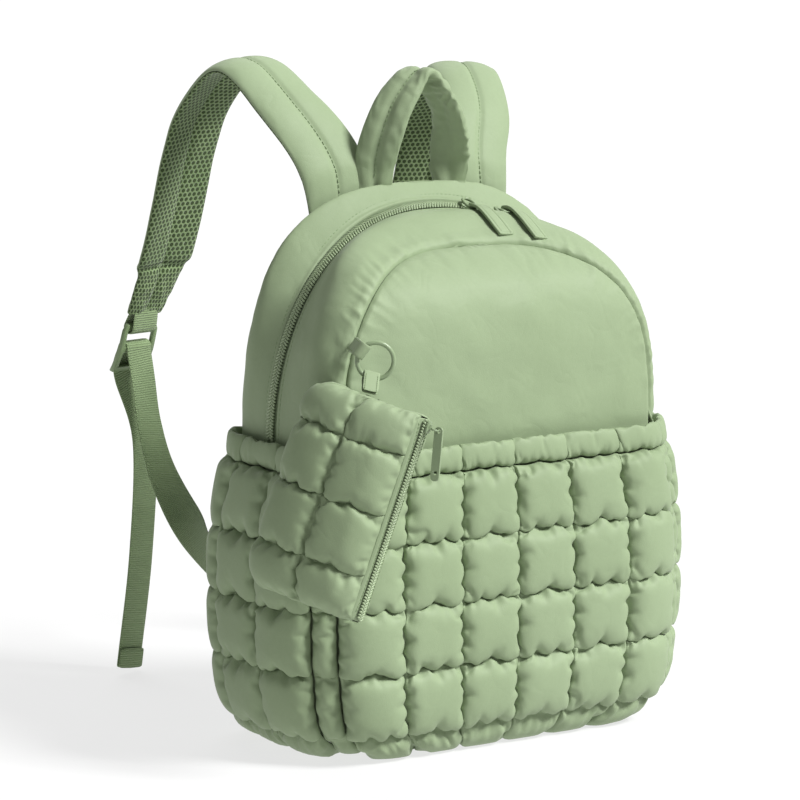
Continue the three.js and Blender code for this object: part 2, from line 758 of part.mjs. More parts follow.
function addStrap({ name, side, splay, rise: archHeight }) {
  // Pad, sewn into the back seam and standing in its arch
  const foot = bagPoint(0, stationAcross(0, (side * strapSpacing) / 2));
  const inner = bagPoint(0, stationAcross(0, side * (strapSpacing / 2 - 20)));
  const seamSlope = inner.clone().sub(foot).setY(0).multiplyScalar(-side).normalize();
  const seat = foot.clone().add(vec(0, strapThickness * 0.3, seamGap + strapSeat));
  const points = route(
    strapRoute.map((p) =>
      vec(
        seat.x + side * splay * p.out,
        seat.y + strapReach * p.back,
        seat.z + archHeight * p.rise - strapHang * p.hang,
      ),
    ),
    24,
  );
  const turned = -side * strapYaw * degrees;
  const wide = vec(Math.cos(turned), Math.sin(turned), 0);
  const frames = framesAlong(points, (t) => seamSlope.clone().lerp(wide, Math.min(t * 2.2, 1)));
  const narrowing = (t) => Math.max((t - strapTaper) / (1 - strapTaper), 0);
  addPiece(
    "shoulder_strap_" + name,
    paddedBand(frames, strapWidth, strapThickness, (t) => ({
      widthShare: mix(1, strapEndShare, narrowing(t)),
      thickShare: Math.min(0.55 + t * 6, 1) * mix(1, 0.7, narrowing(t)),
      curl: strapCurl * Math.min(t * 4, 1) * (1 - narrowing(t)),
    })),
    mesh3d,
  );

  // Ladder-lock buckle, leaning on from the end of the pad
  const end = frames.at(-1);
  const up = vec(-side * buckleLean.out, -buckleLean.back, 1).normalize();
  const across = wide.clone().addScaledVector(up, -wide.dot(up)).normalize();
  const out = across.clone().cross(up).normalize();
  const loopLength = turnRadius + loopReach;
  const barMiddle = end.point.clone().addScaledVector(up, -2.5 * seamGap - loopLength);
  const plateTop = barMiddle.clone().addScaledVector(up, bucklePlate.bar / 2);
  addPiece("ladder_lock_" + name, ladderLock(plateTop, across, up, out), moulded);
  addPiece(
    "buckle_loop_" + name,
    ribbon(
      framesAlong(turnRound(barMiddle, up, out, turnRadius, loopReach + 0.8 * turnRadius), () => across),
      webbingWidth,
      webbingThickness,
    ),
    webbing,
  );

  // Webbing from the tab at the bag's back corner, round the bottom bar, then hanging free
  const anchorFoot = bagPoint(0, { side, height: anchorHeight });
  const offSeam = vec(-side * anchorTabSeat.in, anchorTabThickness / 2 + anchorTabSeat.back, 0);
  const tabFoot = anchorFoot.add(offSeam);
  const down = up.clone().negate();
  const middleBar = barMiddle.clone().addScaledVector(down, bucklePlate.bar + slotHeight);
  const turn = turnRound(middleBar, down, out, turnRadius);
  const [climb, fall] = [turn[0], turn.at(-1)];
  const tabSpan = vec(side * 0.22, 0.9, 0.3).normalize();
  const tabTip = tabFoot.clone().addScaledVector(tabSpan, anchorTabReach);
  const clearOfPlate = slotHeight + 2 * bucklePlate.bar;
  const rise = route(
    webbingRoute.map((p) =>
      vec(
        mix(tabTip.x, climb.x, p.in),
        mix(tabTip.y, climb.y, p.back),
        mix(tabTip.z, climb.z, p.up),
      ),
    ),
    14,
  );
  const pastPlate = fall.clone().addScaledVector(down, clearOfPlate).setX(fall.x);
  const hanging = route(
    [
      fall,
      pastPlate,
      ...tailRoute.map((p) =>
        vec(fall.x - side * tailBow * p.bow, pastPlate.y, mix(fall.z, tailFloorGap, p.drop)),
      ),
    ],
    10,
  );
  const path = [...rise, ...turn.slice(1), ...hanging.slice(1)];
  const edgeOn = vec(side * 0.25, 0.3, 0.9).normalize();
  const riseShare = (rise.length - 1) / (path.length - 1);
  const webbingFrames = framesAlong(path, (t) =>
    t < riseShare ? edgeOn.clone().lerp(across, Math.pow(t / riseShare, 0.7)) : across,
  );
  addPiece("adjuster_webbing_" + name, ribbon(webbingFrames, webbingWidth, webbingThickness), webbing);

  // Folded hem sewn round the free end
  const [above, free] = webbingFrames.slice(-2);
  const upTail = above.point.clone().sub(free.point).normalize();
  const stack = (webbingThickness + threadGap) * Math.sign(free.out.dot(out));
  const hem = [0, 1].map((t) => ({
    ...free,
    point: free.point
      .clone()
      .addScaledVector(free.out, stack)
      .addScaledVector(upTail, t * tailHemHeight),
  }));
  addPiece("webbing_hem_" + name, ribbon(hem, webbingWidth, webbingThickness), webbing);

  // Triangular tab sewn into the back corner seam, ending face to face with the webbing
  const first = webbingFrames[0];
  const ahead = first.out.clone().cross(first.wide).normalize();
  const tip = tabTip.clone().addScaledVector(ahead, -seamGap * Math.sign(ahead.dot(tabSpan)));
  const section = (middle, reach, depth) => [
    middle.clone().sub(reach).sub(depth),
    middle.clone().add(reach).sub(depth),
    middle.clone().add(reach).add(depth),
    middle.clone().sub(reach).add(depth),
  ];
  const depth = tabSpan.clone().cross(vec(0, 0, 1)).setLength(anchorTabThickness / 2);
  const tipDepth = first.out.clone().setLength((anchorTabThickness / 2) * Math.sign(first.out.dot(depth)));
  const reach = vec(0, 0, anchorTabHeight / 2);
  const tipReach = first.wide.clone().setLength(webbingWidth / 2 + anchorTabMargin);
  const turnedBy = wholeNumbers(0, 4).map((i) => i / 4);
  addPiece(
    "webbing_anchor_" + name,
    loft(
      turnedBy.map((t) =>
        section(
          tabFoot.clone().lerp(tip, t),
          reach.clone().lerp(tipReach, t),
          depth.clone().lerp(tipDepth, t).setLength(anchorTabThickness / 2),
        ),
      ),
    ),
    fabric,
  );
}
strapLean.forEach(addStrap);

// Carry handle, a padded band that arches over between the straps
function carryHandle() {
  const half = handleSpan / 2;
  const crest = bagPoint(handlePlace, { angle: 90 });
  const leg = bagPoint(handlePlace, stationAcross(handlePlace, half));
  const foot = leg.z + seamGap + handleSeat;
  const outline = [
    { across: -1, rise: 0 },
    { across: -1.05, rise: 0.36 },
    { across: -0.82, rise: 0.74 },
    { across: -0.3, rise: 0.97 },
    { across: 0.3, rise: 0.98 },
    { across: 0.82, rise: 0.74 },
    { across: 1.05, rise: 0.36 },
    { across: 1, rise: 0 },
  ];
  const points = route(
    outline.map(({ across, rise }) =>
      vec(across * half, crest.y - handleLean * (1 + rise), foot + handleRise * rise),
    ),
    16,
  );
  const frames = framesAlong(points, () => vec(0, 1, 0));
  return paddedBand(frames, handleWidth, handleThickness, (t) => {
    const end = Math.min(t, 1 - t);
    const pinch = mix(1, 0.7, Math.pow(Math.sin(t * Math.PI), 3)); // in the hand's place
    return {
      widthShare: pinch * Math.min(0.75 + 3 * end, 1),
      thickShare: Math.min(0.6 + 4 * end, 1),
      curl: 0,
    };
  });
}
addPiece("carry_handle", carryHandle(), fabric);

// A solid made in its own axes and set on the bag's surface
function placed(geometry, origin, along, out) {
  const wide = out.clone().cross(along).normalize();
  const basis = new THREE.Matrix4().makeBasis(along, wide, out).setPosition(origin);
  return geometry.applyMatrix4(basis);
}

// Sliders on the main zip, each with a wire bail and a fabric pull lying on the front gusset
function sliderBody({ length, width, height }) {
  const shape = new THREE.Shape();
  const [l, w] = [length / 2, width / 2];
  shape.moveTo(-l, -w * 0.7);
  shape.lineTo(-l * 0.3, -w);
  shape.lineTo(l * 0.6, -w);
  shape.lineTo(l, -w * 0.5);
  shape.lineTo(l, w * 0.5);
  shape.lineTo(l * 0.6, w);
  shape.lineTo(-l * 0.3, w);
  shape.lineTo(-l, w * 0.7);
  return new THREE.ExtrudeGeometry(shape, { depth: height, bevelEnabled: false });
}

function wireLoop(halfLength, halfWidth, wire) {
  const loop = new THREE.TorusGeometry(1, 0.5, 6, 16);
  const at = loop.getAttribute("position");
  for (let i = 0; i < at.count; i++) {
    const angle = Math.atan2(at.getY(i), at.getX(i));
    const radial = Math.hypot(at.getX(i), at.getY(i)) - 1;
    at.setXYZ(
      i,
      Math.cos(angle) * (halfLength + radial * 2 * wire),
      Math.sin(angle) * (halfWidth + radial * 2 * wire),
      at.getZ(i) * 2 * wire,
    );
  }
  return loop;
}

for (const { name, across } of sliderPlaces) {
  const station = stationAcross(zipPlace, across);
  const out = bagNormal(zipPlace, station);
  const ahead = stationAcross(zipPlace, across + 3);
  const along = bagPoint(zipPlace, ahead).sub(bagPoint(zipPlace, station));
  along.addScaledVector(out, -along.dot(out)).normalize();
  const seat = bagPoint(zipPlace, station).addScaledVector(out, chainHeight - zipRecess + seamGap);
  addPiece("zip_slider_" + name, placed(sliderBody(slider), seat, along, out), painted);

  const down = out.clone().cross(along).negate().normalize();
  const forwards = down.y < 0 ? down : down.negate();
  const bailMiddle = seat
    .clone()
    .addScaledVector(out, slider.height + bail.wire + bailGap)
    .addScaledVector(forwards, bail.halfLength * 0.55);
  addPiece(
    "pull_bail_" + name,
    placed(wireLoop(bail.halfLength, bail.halfWidth, bail.wire), bailMiddle, forwards, out),
    painted,
  );

  const points = wholeNumbers(0, 6).map((i) => {
    const place = mix(pullPlaces.from, pullPlaces.to, i / 6);
    const at = stationAcross(place, across + i * 0.3);
    const lift = pullThickness / 2 + pullGap + (i ? pullSag.rest : pullSag.top);
    return bagPoint(place, at).addScaledVector(bagNormal(place, at), lift);
  });
  addPiece(
    "zip_pull_" + name,
    ribbon(
      framesAlong(points, () => along),
      pullWidth,
      pullThickness,
    ),
    fabric,
  );
}

// Pouch: its own axes are across its face, down its length and out of its face
const turned = pouchTurn * degrees;
const lean = pouchLean * degrees;
const tilt = pouchTilt * degrees;
const pouchLevel = vec(Math.cos(turned), Math.sin(turned), 0);
const pouchFacing = vec(Math.sin(turned), -Math.cos(turned), Math.tan(lean)).normalize();
const pouchUp = pouchFacing.clone().cross(pouchLevel);
const inFace = (level, up) => pouchLevel.clone().multiplyScalar(level).addScaledVector(pouchUp, up);
const pouchAcross = inFace(Math.cos(tilt), -Math.sin(tilt));
const pouchDown = inFace(-Math.sin(tilt), -Math.cos(tilt));
const pouchMiddle = vec(pouchCentre.across, pouchCentre.out, pouchCentre.height);

function pouchPoint(across, down, out) {
  const bent = out - pouchBend * Math.pow(across / (pouchWidth / 2), 2);
  return pouchMiddle
    .clone()
    .addScaledVector(pouchAcross, across)
    .addScaledVector(pouchDown, down)
    .addScaledVector(pouchFacing, bent);
}

// Quilted cells of the pouch: seams as shares of its width and height
const pouchColumnSeams = [0, 0.5, 1];
const pouchRowSeams = [0, 0.2, 0.49, 0.78, 1];
const pouchCellSteps = [
  { at: 0, loft: 0 },
  { at: 0.22, loft: 0.9 },
  { at: 0.75, loft: 1 },
];
const pouchRim = 0.2;
const pouchEdge = pouchWidth / 2;

function pouchDome(down) {
  return pouchFill * Math.pow(1 - Math.pow(Math.abs(2 * down - 1), 3), 0.55);
}

function pouchShell(face) {
  const across = stations(pouchColumnSeams, pouchCellSteps);
  const down = stations(pouchRowSeams, pouchCellSteps);
  const rows = (offset) =>
    down.map((r) => {
      const y = (r.at - 0.5) * pouchHeight;
      const corner = Math.max(Math.abs(y) - pouchHeight / 2 + pouchCornerRadius, 0);
      const round = pouchCornerRadius - Math.sqrt(pouchCornerRadius ** 2 - corner ** 2);
      const left = round - pouchEdge;
      const right = pouchEdge - (face > 0 ? pouchZip.inset : 0);
      return across.map((c) => {
        const full = pouchDome(r.at) * Math.pow(1 - Math.pow(Math.max(1 - 2 * c.at, 0), 2.4), 0.7);
        const height = full + pouchLoft * 0.5 * r.loft * c.loft;
        return pouchPoint(mix(left, right, c.at), y, face * Math.max(offset + height, pouchRim));
      });
    });
  return slab(rows(pouchWall), rows(0));
}
addPiece("pouch_front", pouchShell(1), quilted);
addPiece("pouch_back", pouchShell(-1), quilted);

// Zipped gusset between the two faces: a point on it, down its length and across its width
const zipEndShare = 0.008;
function pouchZipPoint(down, across, lift) {
  const depth = pouchDome(down) + pouchWall;
  const bulge = pouchZip.bulge * (1 - across * across);
  const edge = pouchEdge - (pouchZip.inset * (1 + across)) / 2;
  return pouchPoint(edge + 1.5 * seamGap + bulge + lift, (down - 0.5) * pouchHeight, across * depth);
}

function pouchZipStrip() {
  const down = wholeNumbers(0, 12).map((i) => mix(zipEndShare, 1 - zipEndShare, i / 12));
  const half = pouchZip.chain / 2;
  const profile = [
    { side: -1, lift: 0 },
    { side: 0, across: -half - 0.5, lift: 0 },
    { side: 0, across: -half, lift: pouchZip.chainHeight },
    { side: 0, across: half, lift: pouchZip.chainHeight },
    { side: 0, across: half + 0.5, lift: 0 },
    { side: 1, lift: 0 },
  ];
  const rows = (offset) =>
    down.map((d) => {
      const depth = pouchDome(d) + pouchWall;
      const share = ({ side, across }) => side || Math.max(Math.min(across / depth, 0.8), -0.8);
      return profile.map((p) => pouchZipPoint(d, share(p), offset(p.lift)));
    });
  return slab(
    rows((lift) => lift + pouchZip.thickness),
    rows(() => 0),
  );
}
addPiece("pouch_zip", pouchZipStrip(), webbing);

// Slider near the top of the pouch's zip, its crown and the metal pull that hangs from it
const zipFace = pouchZip.thickness + pouchZip.chainHeight + 3 * seamGap;
const sliderSeat = pouchZipPoint(pouchSlider.place, 0, zipFace);
addPiece("pouch_slider", placed(sliderBody(pouchSlider), sliderSeat, pouchDown, pouchAcross), painted);

const crownMiddle = sliderSeat
  .clone()
  .addScaledVector(pouchAcross, pouchSlider.height + seamGap + crown.reach + crown.wire);
addPiece(
  "pouch_crown",
  placed(wireLoop(crown.reach, crown.halfWidth, crown.wire), crownMiddle, pouchAcross, pouchDown),
  painted,
);

const pullPivot = crownMiddle.clone().addScaledVector(pouchAcross, crown.reach);
function metalPull() {
  const { length, width, thickness, eye, hole, rim, holeRim } = pullTab;
  const top = eye + rim;
  const shape = new THREE.Shape();
  shape.moveTo(-width / 2, 0);
  shape.absarc(0, top - width / 2, width / 2, 180 * degrees, 0, true);
  shape.lineTo(width / 2, top - length + width / 2);
  shape.absarc(0, top - length + width / 2, width / 2, 0, -180 * degrees, true);
  for (const [radius, drop] of [
    [eye, 0],
    [hole, length - top - width / 2 - holeRim],
  ]) {
    const ring = new THREE.Path();
    ring.absarc(0, -drop, radius, 0, 360 * degrees, false);
    shape.holes.push(ring);
  }
  const settings = { depth: thickness, bevelEnabled: false, curveSegments: 6 };
  const plate = new THREE.ExtrudeGeometry(shape, settings);
  plate.translate(0, 0, -thickness / 2);
  const basis = new THREE.Matrix4().makeBasis(pouchLevel, pouchUp, pouchFacing);
  return plate.applyMatrix4(basis.setPosition(pullPivot));
}
addPiece("pouch_pull", metalPull(), painted);

// Split ring in front of the front seam, held by a sewn tab above it and the pouch's loop below
const ringFacing = vec(Math.sin(ringTurn * degrees), -Math.cos(ringTurn * degrees), 0);
const ringLevel = vec(Math.cos(ringTurn * degrees), Math.sin(ringTurn * degrees), 0);
const ringMiddle = vec(ringPlace.across, ringPlace.out, ringPlace.height);
addPiece(
  "split_ring",
  placed(wireLoop(ringRadius, ringRadius, ringWire), ringMiddle, ringLevel, ringFacing),
  painted,
);

const ringBow = ringRadius - Math.sqrt(ringRadius ** 2 - (tabWidth / 2) ** 2);
const ringTurnRadius = ringWire + threadGap + tabThickness / 2 + ringBow * 0.7; // round a curved wire
const tabSpread = tabThickness / 2 + threadGap / 2;

// Folded tab round the ring's wire, on the side of the ring that it pulls on
function ringTab(level, rise, hold) {
  const away = ringLevel.clone().multiplyScalar(level).add(vec(0, 0, rise)).normalize();
  const wire = ringMiddle.clone().addScaledVector(away, ringRadius - ringBow / 2);
  const pull = hold.clone().sub(wire).normalize();
  const wide = ringFacing.clone().cross(away);
  const side = wide.clone().cross(pull).normalize();
  const leg = (sign) => hold.clone().addScaledVector(side, sign * tabSpread);
  const path = [leg(1), ...turnRound(wire, pull, side, ringTurnRadius), leg(-1)];
  return ribbon(
    framesAlong(path, () => wide),
    tabWidth,
    tabThickness,
  );
}

const seamAngle = 180 - Math.asin(seamLift(1, seamTabHeight)) / degrees;
const seamHold = bagPoint(seamTabPlace, { angle: seamAngle });
seamHold.addScaledVector(bagNormal(seamTabPlace, { angle: seamAngle }), tabSeat);
addPiece("ring_tab", ringTab(-0.8, 0.6, seamHold), fabric);
const pouchHold = pouchPoint(pouchTabPlace, -pouchHeight / 2 - 2 * tabSeat, 0);
addPiece("pouch_tab", ringTab(-0.26, -0.97, pouchHold), fabric);

export default bag;
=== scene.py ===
import math
from functools import lru_cache

import bpy
from mathutils import Matrix, Vector, kdtree, noise


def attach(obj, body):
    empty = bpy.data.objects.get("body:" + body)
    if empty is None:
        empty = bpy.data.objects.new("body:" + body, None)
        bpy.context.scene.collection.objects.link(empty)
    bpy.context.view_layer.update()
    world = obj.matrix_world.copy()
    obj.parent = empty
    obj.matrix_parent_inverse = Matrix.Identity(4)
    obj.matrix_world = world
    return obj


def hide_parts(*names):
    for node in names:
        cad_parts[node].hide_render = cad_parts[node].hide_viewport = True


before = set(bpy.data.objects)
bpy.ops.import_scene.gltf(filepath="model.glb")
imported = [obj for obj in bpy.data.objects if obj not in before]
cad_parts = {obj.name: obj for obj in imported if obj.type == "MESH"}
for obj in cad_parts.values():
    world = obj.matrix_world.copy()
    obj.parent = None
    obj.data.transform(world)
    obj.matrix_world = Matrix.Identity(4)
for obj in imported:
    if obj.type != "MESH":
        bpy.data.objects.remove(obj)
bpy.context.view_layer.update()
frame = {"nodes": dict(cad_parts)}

mm = 0.001
tau = 2 * math.pi


# Camera at the photograph's angle
view = {"azimuth": -33, "elevation": 9, "lens": 169.6, "place": (-1.4528, -2.1848, 0.6460)}
bpy.ops.object.camera_add(location=view["place"])
camera = bpy.context.object
camera.rotation_euler = (math.radians(90 - view["elevation"]), 0, math.radians(view["azimuth"]))
camera.data.lens = view["lens"]
camera.data.sensor_width = 36
camera.data.clip_end = 50
bpy.context.scene.camera = camera


# Shader sums, and one class for each material's nodes
class Value:        # a number that changes over a surface: sums on it add Math nodes
    def __init__(self, tree, socket):
        self.tree, self.socket = tree, socket

    def math(self, operation, *others, swapped=False):
        node = self.tree.nodes.new("ShaderNodeMath")
        node.operation = operation
        terms = (self, *others)
        for socket, term in zip(node.inputs, reversed(terms) if swapped else terms):
            plug(self.tree, term, socket)
        return Value(self.tree, node.outputs[0])

    def __add__(self, other): return self.math("ADD", other)
    def __sub__(self, other): return self.math("SUBTRACT", other)
    def __rsub__(self, other): return self.math("SUBTRACT", other, swapped=True)
    def __mul__(self, other): return self.math("MULTIPLY", other)
    def __truediv__(self, other): return self.math("DIVIDE", other)
    def __mod__(self, other): return self.math("FLOORED_MODULO", other)
    def __abs__(self): return self.math("ABSOLUTE")
    __radd__ = __add__
    __rmul__ = __mul__

    def sin(self): return self.math("SINE")
    def floor(self): return self.math("FLOOR")

    def step(self, low, high):        # 0 below low, 1 above high, smooth between
        node = self.tree.nodes.new("ShaderNodeMapRange")
        node.interpolation_type = "SMOOTHSTEP"
        for socket, term in zip(node.inputs, (self, low, high, 0.0, 1.0)):
            plug(self.tree, term, socket)
        return Value(self.tree, node.outputs[0])


def plug(tree, term, socket):
    if isinstance(term, Value):
        tree.links.new(term.socket, socket)
    elif isinstance(term, bpy.types.NodeSocket):
        tree.links.new(term, socket)
    elif socket.type == "RGBA":
        socket.default_value = (*term, 1)
    else:
        socket.default_value = term


class Finish:
    def __init__(self, name, roughness=0.5, specular=0.3, sheen=0.0, metal=0.0):
        self.material = bpy.data.materials.new(name)
        self.material.use_nodes = True
        self.tree = self.material.node_tree
        self.surface = self.tree.nodes["Principled BSDF"]
        constants = {"Roughness": roughness, "Specular IOR Level": specular, "Metallic": metal,
                     "Sheen Weight": sheen, "Sheen Roughness": 0.4}
        for socket, value in constants.items():
            self.surface.inputs[socket].default_value = value

    def add(self, kind, settings=None, **values):        # any node, by its type
        node = self.tree.nodes.new(kind)
        for key, value in (settings or {}).items():
            setattr(node, key, value)
        for key, value in values.items():
            plug(self.tree, value, node.inputs[key.replace("_", " ")])
        return node

    def place(self):        # the object's own coordinates
        return self.add("ShaderNodeTexCoord").outputs["Object"]

    def strip(self):        # across and along in metres, from the piece's own map
        node = self.add("ShaderNodeUVMap", {"uv_map": "strip"})
        parts = self.add("ShaderNodeSeparateXYZ", Vector=node.outputs[0])
        return [Value(self.tree, parts.outputs[i]) for i in (0, 1)]

    def noise(self, scale, detail=2, rough=0.5, warp=0.0, stretch=None):
        source = self.place()
        if stretch:
            source = self.add("ShaderNodeMapping", Vector=source, Scale=stretch).outputs[0]
        node = self.add("ShaderNodeTexNoise", Vector=source, Scale=float(scale),
                        Detail=float(detail), Roughness=rough, Distortion=warp)
        return Value(self.tree, node.outputs[0])

    def blend(self, mask, low, high):        # from one colour to another
        node = self.add("ShaderNodeMix", {"data_type": "RGBA"})
        for index, term in ((0, mask), (6, low), (7, high)):
            plug(self.tree, term, node.inputs[index])
        return node.outputs[2]

    def paint(self, colour, rough=None):
        plug(self.tree, colour, self.surface.inputs["Base Color"])
        if rough is not None:
            plug(self.tree, rough, self.surface.inputs["Roughness"])

    def relief(self, *layers):        # (height, depth in metres) pairs, each a bump over the last
        normal = None
        for height, depth in layers:
            node = self.add("ShaderNodeBump", Height=height, Distance=depth, Strength=1.0)
            if normal is not None:
                plug(self.tree, normal, node.inputs["Normal"])
            normal = node.outputs[0]
        plug(self.tree, normal, self.surface.inputs["Normal"])

    def putOn(self, piece):
        piece.data.materials.clear()
        piece.data.materials.append(self.material)


# hole is painted shade: a near-black standing in for the shadowed depth inside the spacer mesh's holes
sage = {"pale": (0.262, 0.333, 0.2), "deep": (0.236, 0.304, 0.176), "mesh": (0.2, 0.285, 0.13),
        "hole": (0.05, 0.078, 0.028), "webbing": (0.27, 0.36, 0.19), "plastic": (0.19, 0.265, 0.13),
        "metal": (0.24, 0.315, 0.18)}


def nylon(name, crease):
    cloth = Finish(name, roughness=0.6, specular=0.26, sheen=0.06)
    tone = (cloth.noise(scale=7, detail=2) * 0.8 + cloth.noise(scale=420) * 0.2).step(0.3, 0.7)
    cloth.paint(cloth.blend(tone, sage["deep"], sage["pale"]), cloth.noise(scale=60) * 0.14 + 0.54)
    folds = cloth.noise(scale=17, detail=2, rough=0.4, warp=0.7)
    crinkle = abs(cloth.noise(scale=42, detail=1, warp=0.9) - 0.5)
    weave = cloth.noise(scale=1400, detail=1)
    cloth.relief((folds, crease * 2.2), (crinkle, crease * 0.8), (weave, 0.00009))
    return cloth


shellCloth = nylon("shell_nylon", 0.0008)
quiltCloth = nylon("quilt_nylon", 0.0007)


def spacerMesh():
    cloth = Finish("spacer_mesh", roughness=0.85, specular=0.15, sheen=0.3)
    across, along = cloth.strip()
    pitch = 0.0042
    row = (along / (pitch * 0.866)).floor()
    x = (across / pitch + (row % 2.0) * 0.5) % 1.0 - 0.5
    y = (along / (pitch * 0.866)) % 1.0 - 0.5
    hole = 1 - (x * x + y * y * 0.75).step(0.1, 0.17)
    tone = cloth.noise(scale=30, detail=2).step(0.3, 0.7)
    yarn = cloth.blend(tone, sage["mesh"], (0.25, 0.34, 0.165))
    # Painted shade: the holes are coloured near-black for the shadowed depth inside them, which the surface itself does
    # not have
    cloth.paint(cloth.blend(hole, yarn, sage["hole"]))
    knit = cloth.noise(scale=900, detail=1)
    cloth.relief((1 - hole, 0.0009), (knit, 0.0003))
    return cloth


def webbingWeave():
    cloth = Finish("webbing_weave", roughness=0.8, specular=0.2, sheen=0.2)
    across, along = cloth.strip()
    ribs = (along * (tau / 0.0017)).sin()
    yarns = (across * (tau / 0.0011) + along * (tau / 0.0034)).sin()
    # The colour follows the ribs as well as random tone: the troughs between ribs are darker, which is painted shade
    tone = (cloth.noise(scale=40) * 0.6 + (ribs * 0.2 + 0.2)).step(0.2, 0.8)
    cloth.paint(cloth.blend(tone, (0.205, 0.285, 0.14), sage["webbing"]))
    cloth.relief((ribs, 0.00022), (yarns, 0.00012))
    return cloth


def zipTape():
    cloth = Finish("zip_tape", roughness=0.8, specular=0.2, sheen=0.2)
    across, along = cloth.strip()
    rib = ((abs(across - 0.004) + along * 0.6) * (tau / 0.0011)).sin()
    tone = cloth.noise(scale=50).step(0.3, 0.7)
    cloth.paint(cloth.blend(tone, (0.17, 0.235, 0.12), (0.2, 0.275, 0.145)))
    cloth.relief((rib, 0.00015))
    return cloth


def moulded(name, colour, rough, metal=0.0):
    plastic = Finish(name, roughness=rough, specular=0.45, metal=metal)
    tone = plastic.noise(scale=25, detail=3).step(0.3, 0.7)
    darker = tuple(part * 0.86 for part in colour)
    plastic.paint(plastic.blend(tone, darker, colour), plastic.noise(scale=120) * 0.15 + (rough - 0.07))
    plastic.relief((plastic.noise(scale=900, detail=2), 0.00008))
    return plastic


meshCloth, webCloth, tapeCloth = spacerMesh(), webbingWeave(), zipTape()
mouldedPlastic = moulded("moulded_plastic", sage["plastic"], 0.42)
paintedMetal = moulded("painted_metal", sage["metal"], 0.33)
coilPlastic = moulded("coil_plastic", (0.3, 0.38, 0.225), 0.42)
thread = moulded("thread", (0.2, 0.28, 0.14), 0.7)


# Floor and soft studio light
studio = {
    "sun": {"from": (0.5, -0.66, 0.82), "strength": 5.3, "angle": 18},
    "rim": {"from": (0.35, 0.8, 0.9), "strength": 1.0, "angle": 40},
    "sky": 0.22, "paper": 0.2, "glow": 0.72,
}


def addFloor():
    deselect()
    bpy.ops.mesh.primitive_plane_add(size=80, location=(0, 0, -0.0004))
    floor = bpy.context.object
    floor.name = "floor"
    paper = Finish("paper", roughness=0.95, specular=0.0)
    tone = studio["paper"]
    paper.paint(paper.blend(paper.noise(scale=3, detail=3), (tone, tone, tone), (tone * 1.02,) * 3))
    paper.surface.inputs["Emission Color"].default_value = (1, 1, 1, 1)
    paper.surface.inputs["Emission Strength"].default_value = studio["glow"]
    paper.putOn(floor)


def addLights():
    for name in ("sun", "rim"):
        lamp = studio[name]
        bpy.ops.object.light_add(type="SUN", location=Vector(lamp["from"]) * 3)
        light = bpy.context.object
        light.name = "light_" + name
        light.data.energy = lamp["strength"]
        light.data.angle = math.radians(lamp["angle"])
        light.rotation_euler = Vector(lamp["from"]).to_track_quat("Z", "Y").to_euler()
    world = bpy.data.worlds.new("studio")
    world.use_nodes = True
    world.node_tree.nodes["Background"].inputs[0].default_value = (1, 1, 1, 1)
    world.node_tree.nodes["Background"].inputs[1].default_value = studio["sky"]
    bpy.context.scene.world = world


# Curves and tables shared by the pieces
def mix(a, b, t):
    return a + (b - a) * t


def clamp(value, low=0.0, high=1.0):
    return min(max(value, low), high)


def ease(value, low=0.0, high=1.0):
    t = clamp((value - low) / (high - low))
    return t * t * (3 - 2 * t)


def ripple(*at):        # smooth noise from about -1 to 1
    return noise.noise(Vector((*at, 0, 0)[:3]))


def tableValue(rows, column, at):        # smooth curve through a column, over the first column
    last = len(rows) - 1
    i = 0
    while i < last - 1 and at > rows[i + 1][0]:
        i += 1
    a, b = rows[i], rows[i + 1]
    span = b[0] - a[0]
    t = clamp((at - a[0]) / span)

    def slope(j):
        before, after = rows[max(j - 1, 0)], rows[min(j + 1, last)]
        return (after[column] - before[column]) / (after[0] - before[0]) * span

    return ((2 * t**3 - 3 * t**2 + 1) * a[column] + (t**3 - 2 * t**2 + t) * slope(i)
            + (3 * t**2 - 2 * t**3) * b[column] + (t**3 - t**2) * slope(i + 1))


def routePoints(points, count):        # evenly spaced points on a smooth curve
    ends = [points[0] * 2 - points[1], *points, points[-1] * 2 - points[-2]]
    dense = []
    for a, b, c, d in zip(ends, ends[1:], ends[2:], ends[3:]):
        for i in range(24):
            t = i / 24
            dense.append((b * 2 + (c - a) * t + (a * 2 - b * 5 + c * 4 - d) * t**2
                          + (b * 3 - a - c * 3 + d) * t**3) * 0.5)
    dense.append(points[-1])
    lengths = [0.0]
    for a, b in zip(dense, dense[1:]):
        lengths.append(lengths[-1] + (b - a).length)
    found, i = [], 1
    for k in range(count + 1):
        at = lengths[-1] * k / count
        while i < len(dense) - 1 and lengths[i] < at:
            i += 1
        found.append(dense[i - 1].lerp(dense[i], (at - lengths[i - 1]) / (lengths[i] - lengths[i - 1])))
    return found


def framesAlong(points, widthAt):        # point, way across and way out, at each point
    frames = []
    for i, point in enumerate(points):
        forward = (points[min(i + 1, len(points) - 1)] - points[max(i - 1, 0)]).normalized()
        wide = widthAt(i / (len(points) - 1))
        wide = (wide - forward * wide.dot(forward)).normalized()
        frames.append((point, wide, wide.cross(forward).normalized(), forward))
    return frames


# Making pieces
def deselect():
    if bpy.context.object and bpy.context.object.mode != "OBJECT":
        bpy.ops.object.mode_set(mode="OBJECT")
    bpy.ops.object.select_all(action="DESELECT")


def pick(piece):
    deselect()
    piece.select_set(True)
    bpy.context.view_layer.objects.active = piece


def chooseFaces(piece, test):        # leaves the piece in edit mode with only the faces that pass selected
    pick(piece)
    bpy.ops.object.mode_set(mode="EDIT")
    bpy.ops.mesh.select_mode(type="FACE")
    bpy.ops.mesh.select_all(action="DESELECT")
    bpy.ops.object.mode_set(mode="OBJECT")
    for face in piece.data.polygons:
        face.select = test(face)
    bpy.ops.object.mode_set(mode="EDIT")


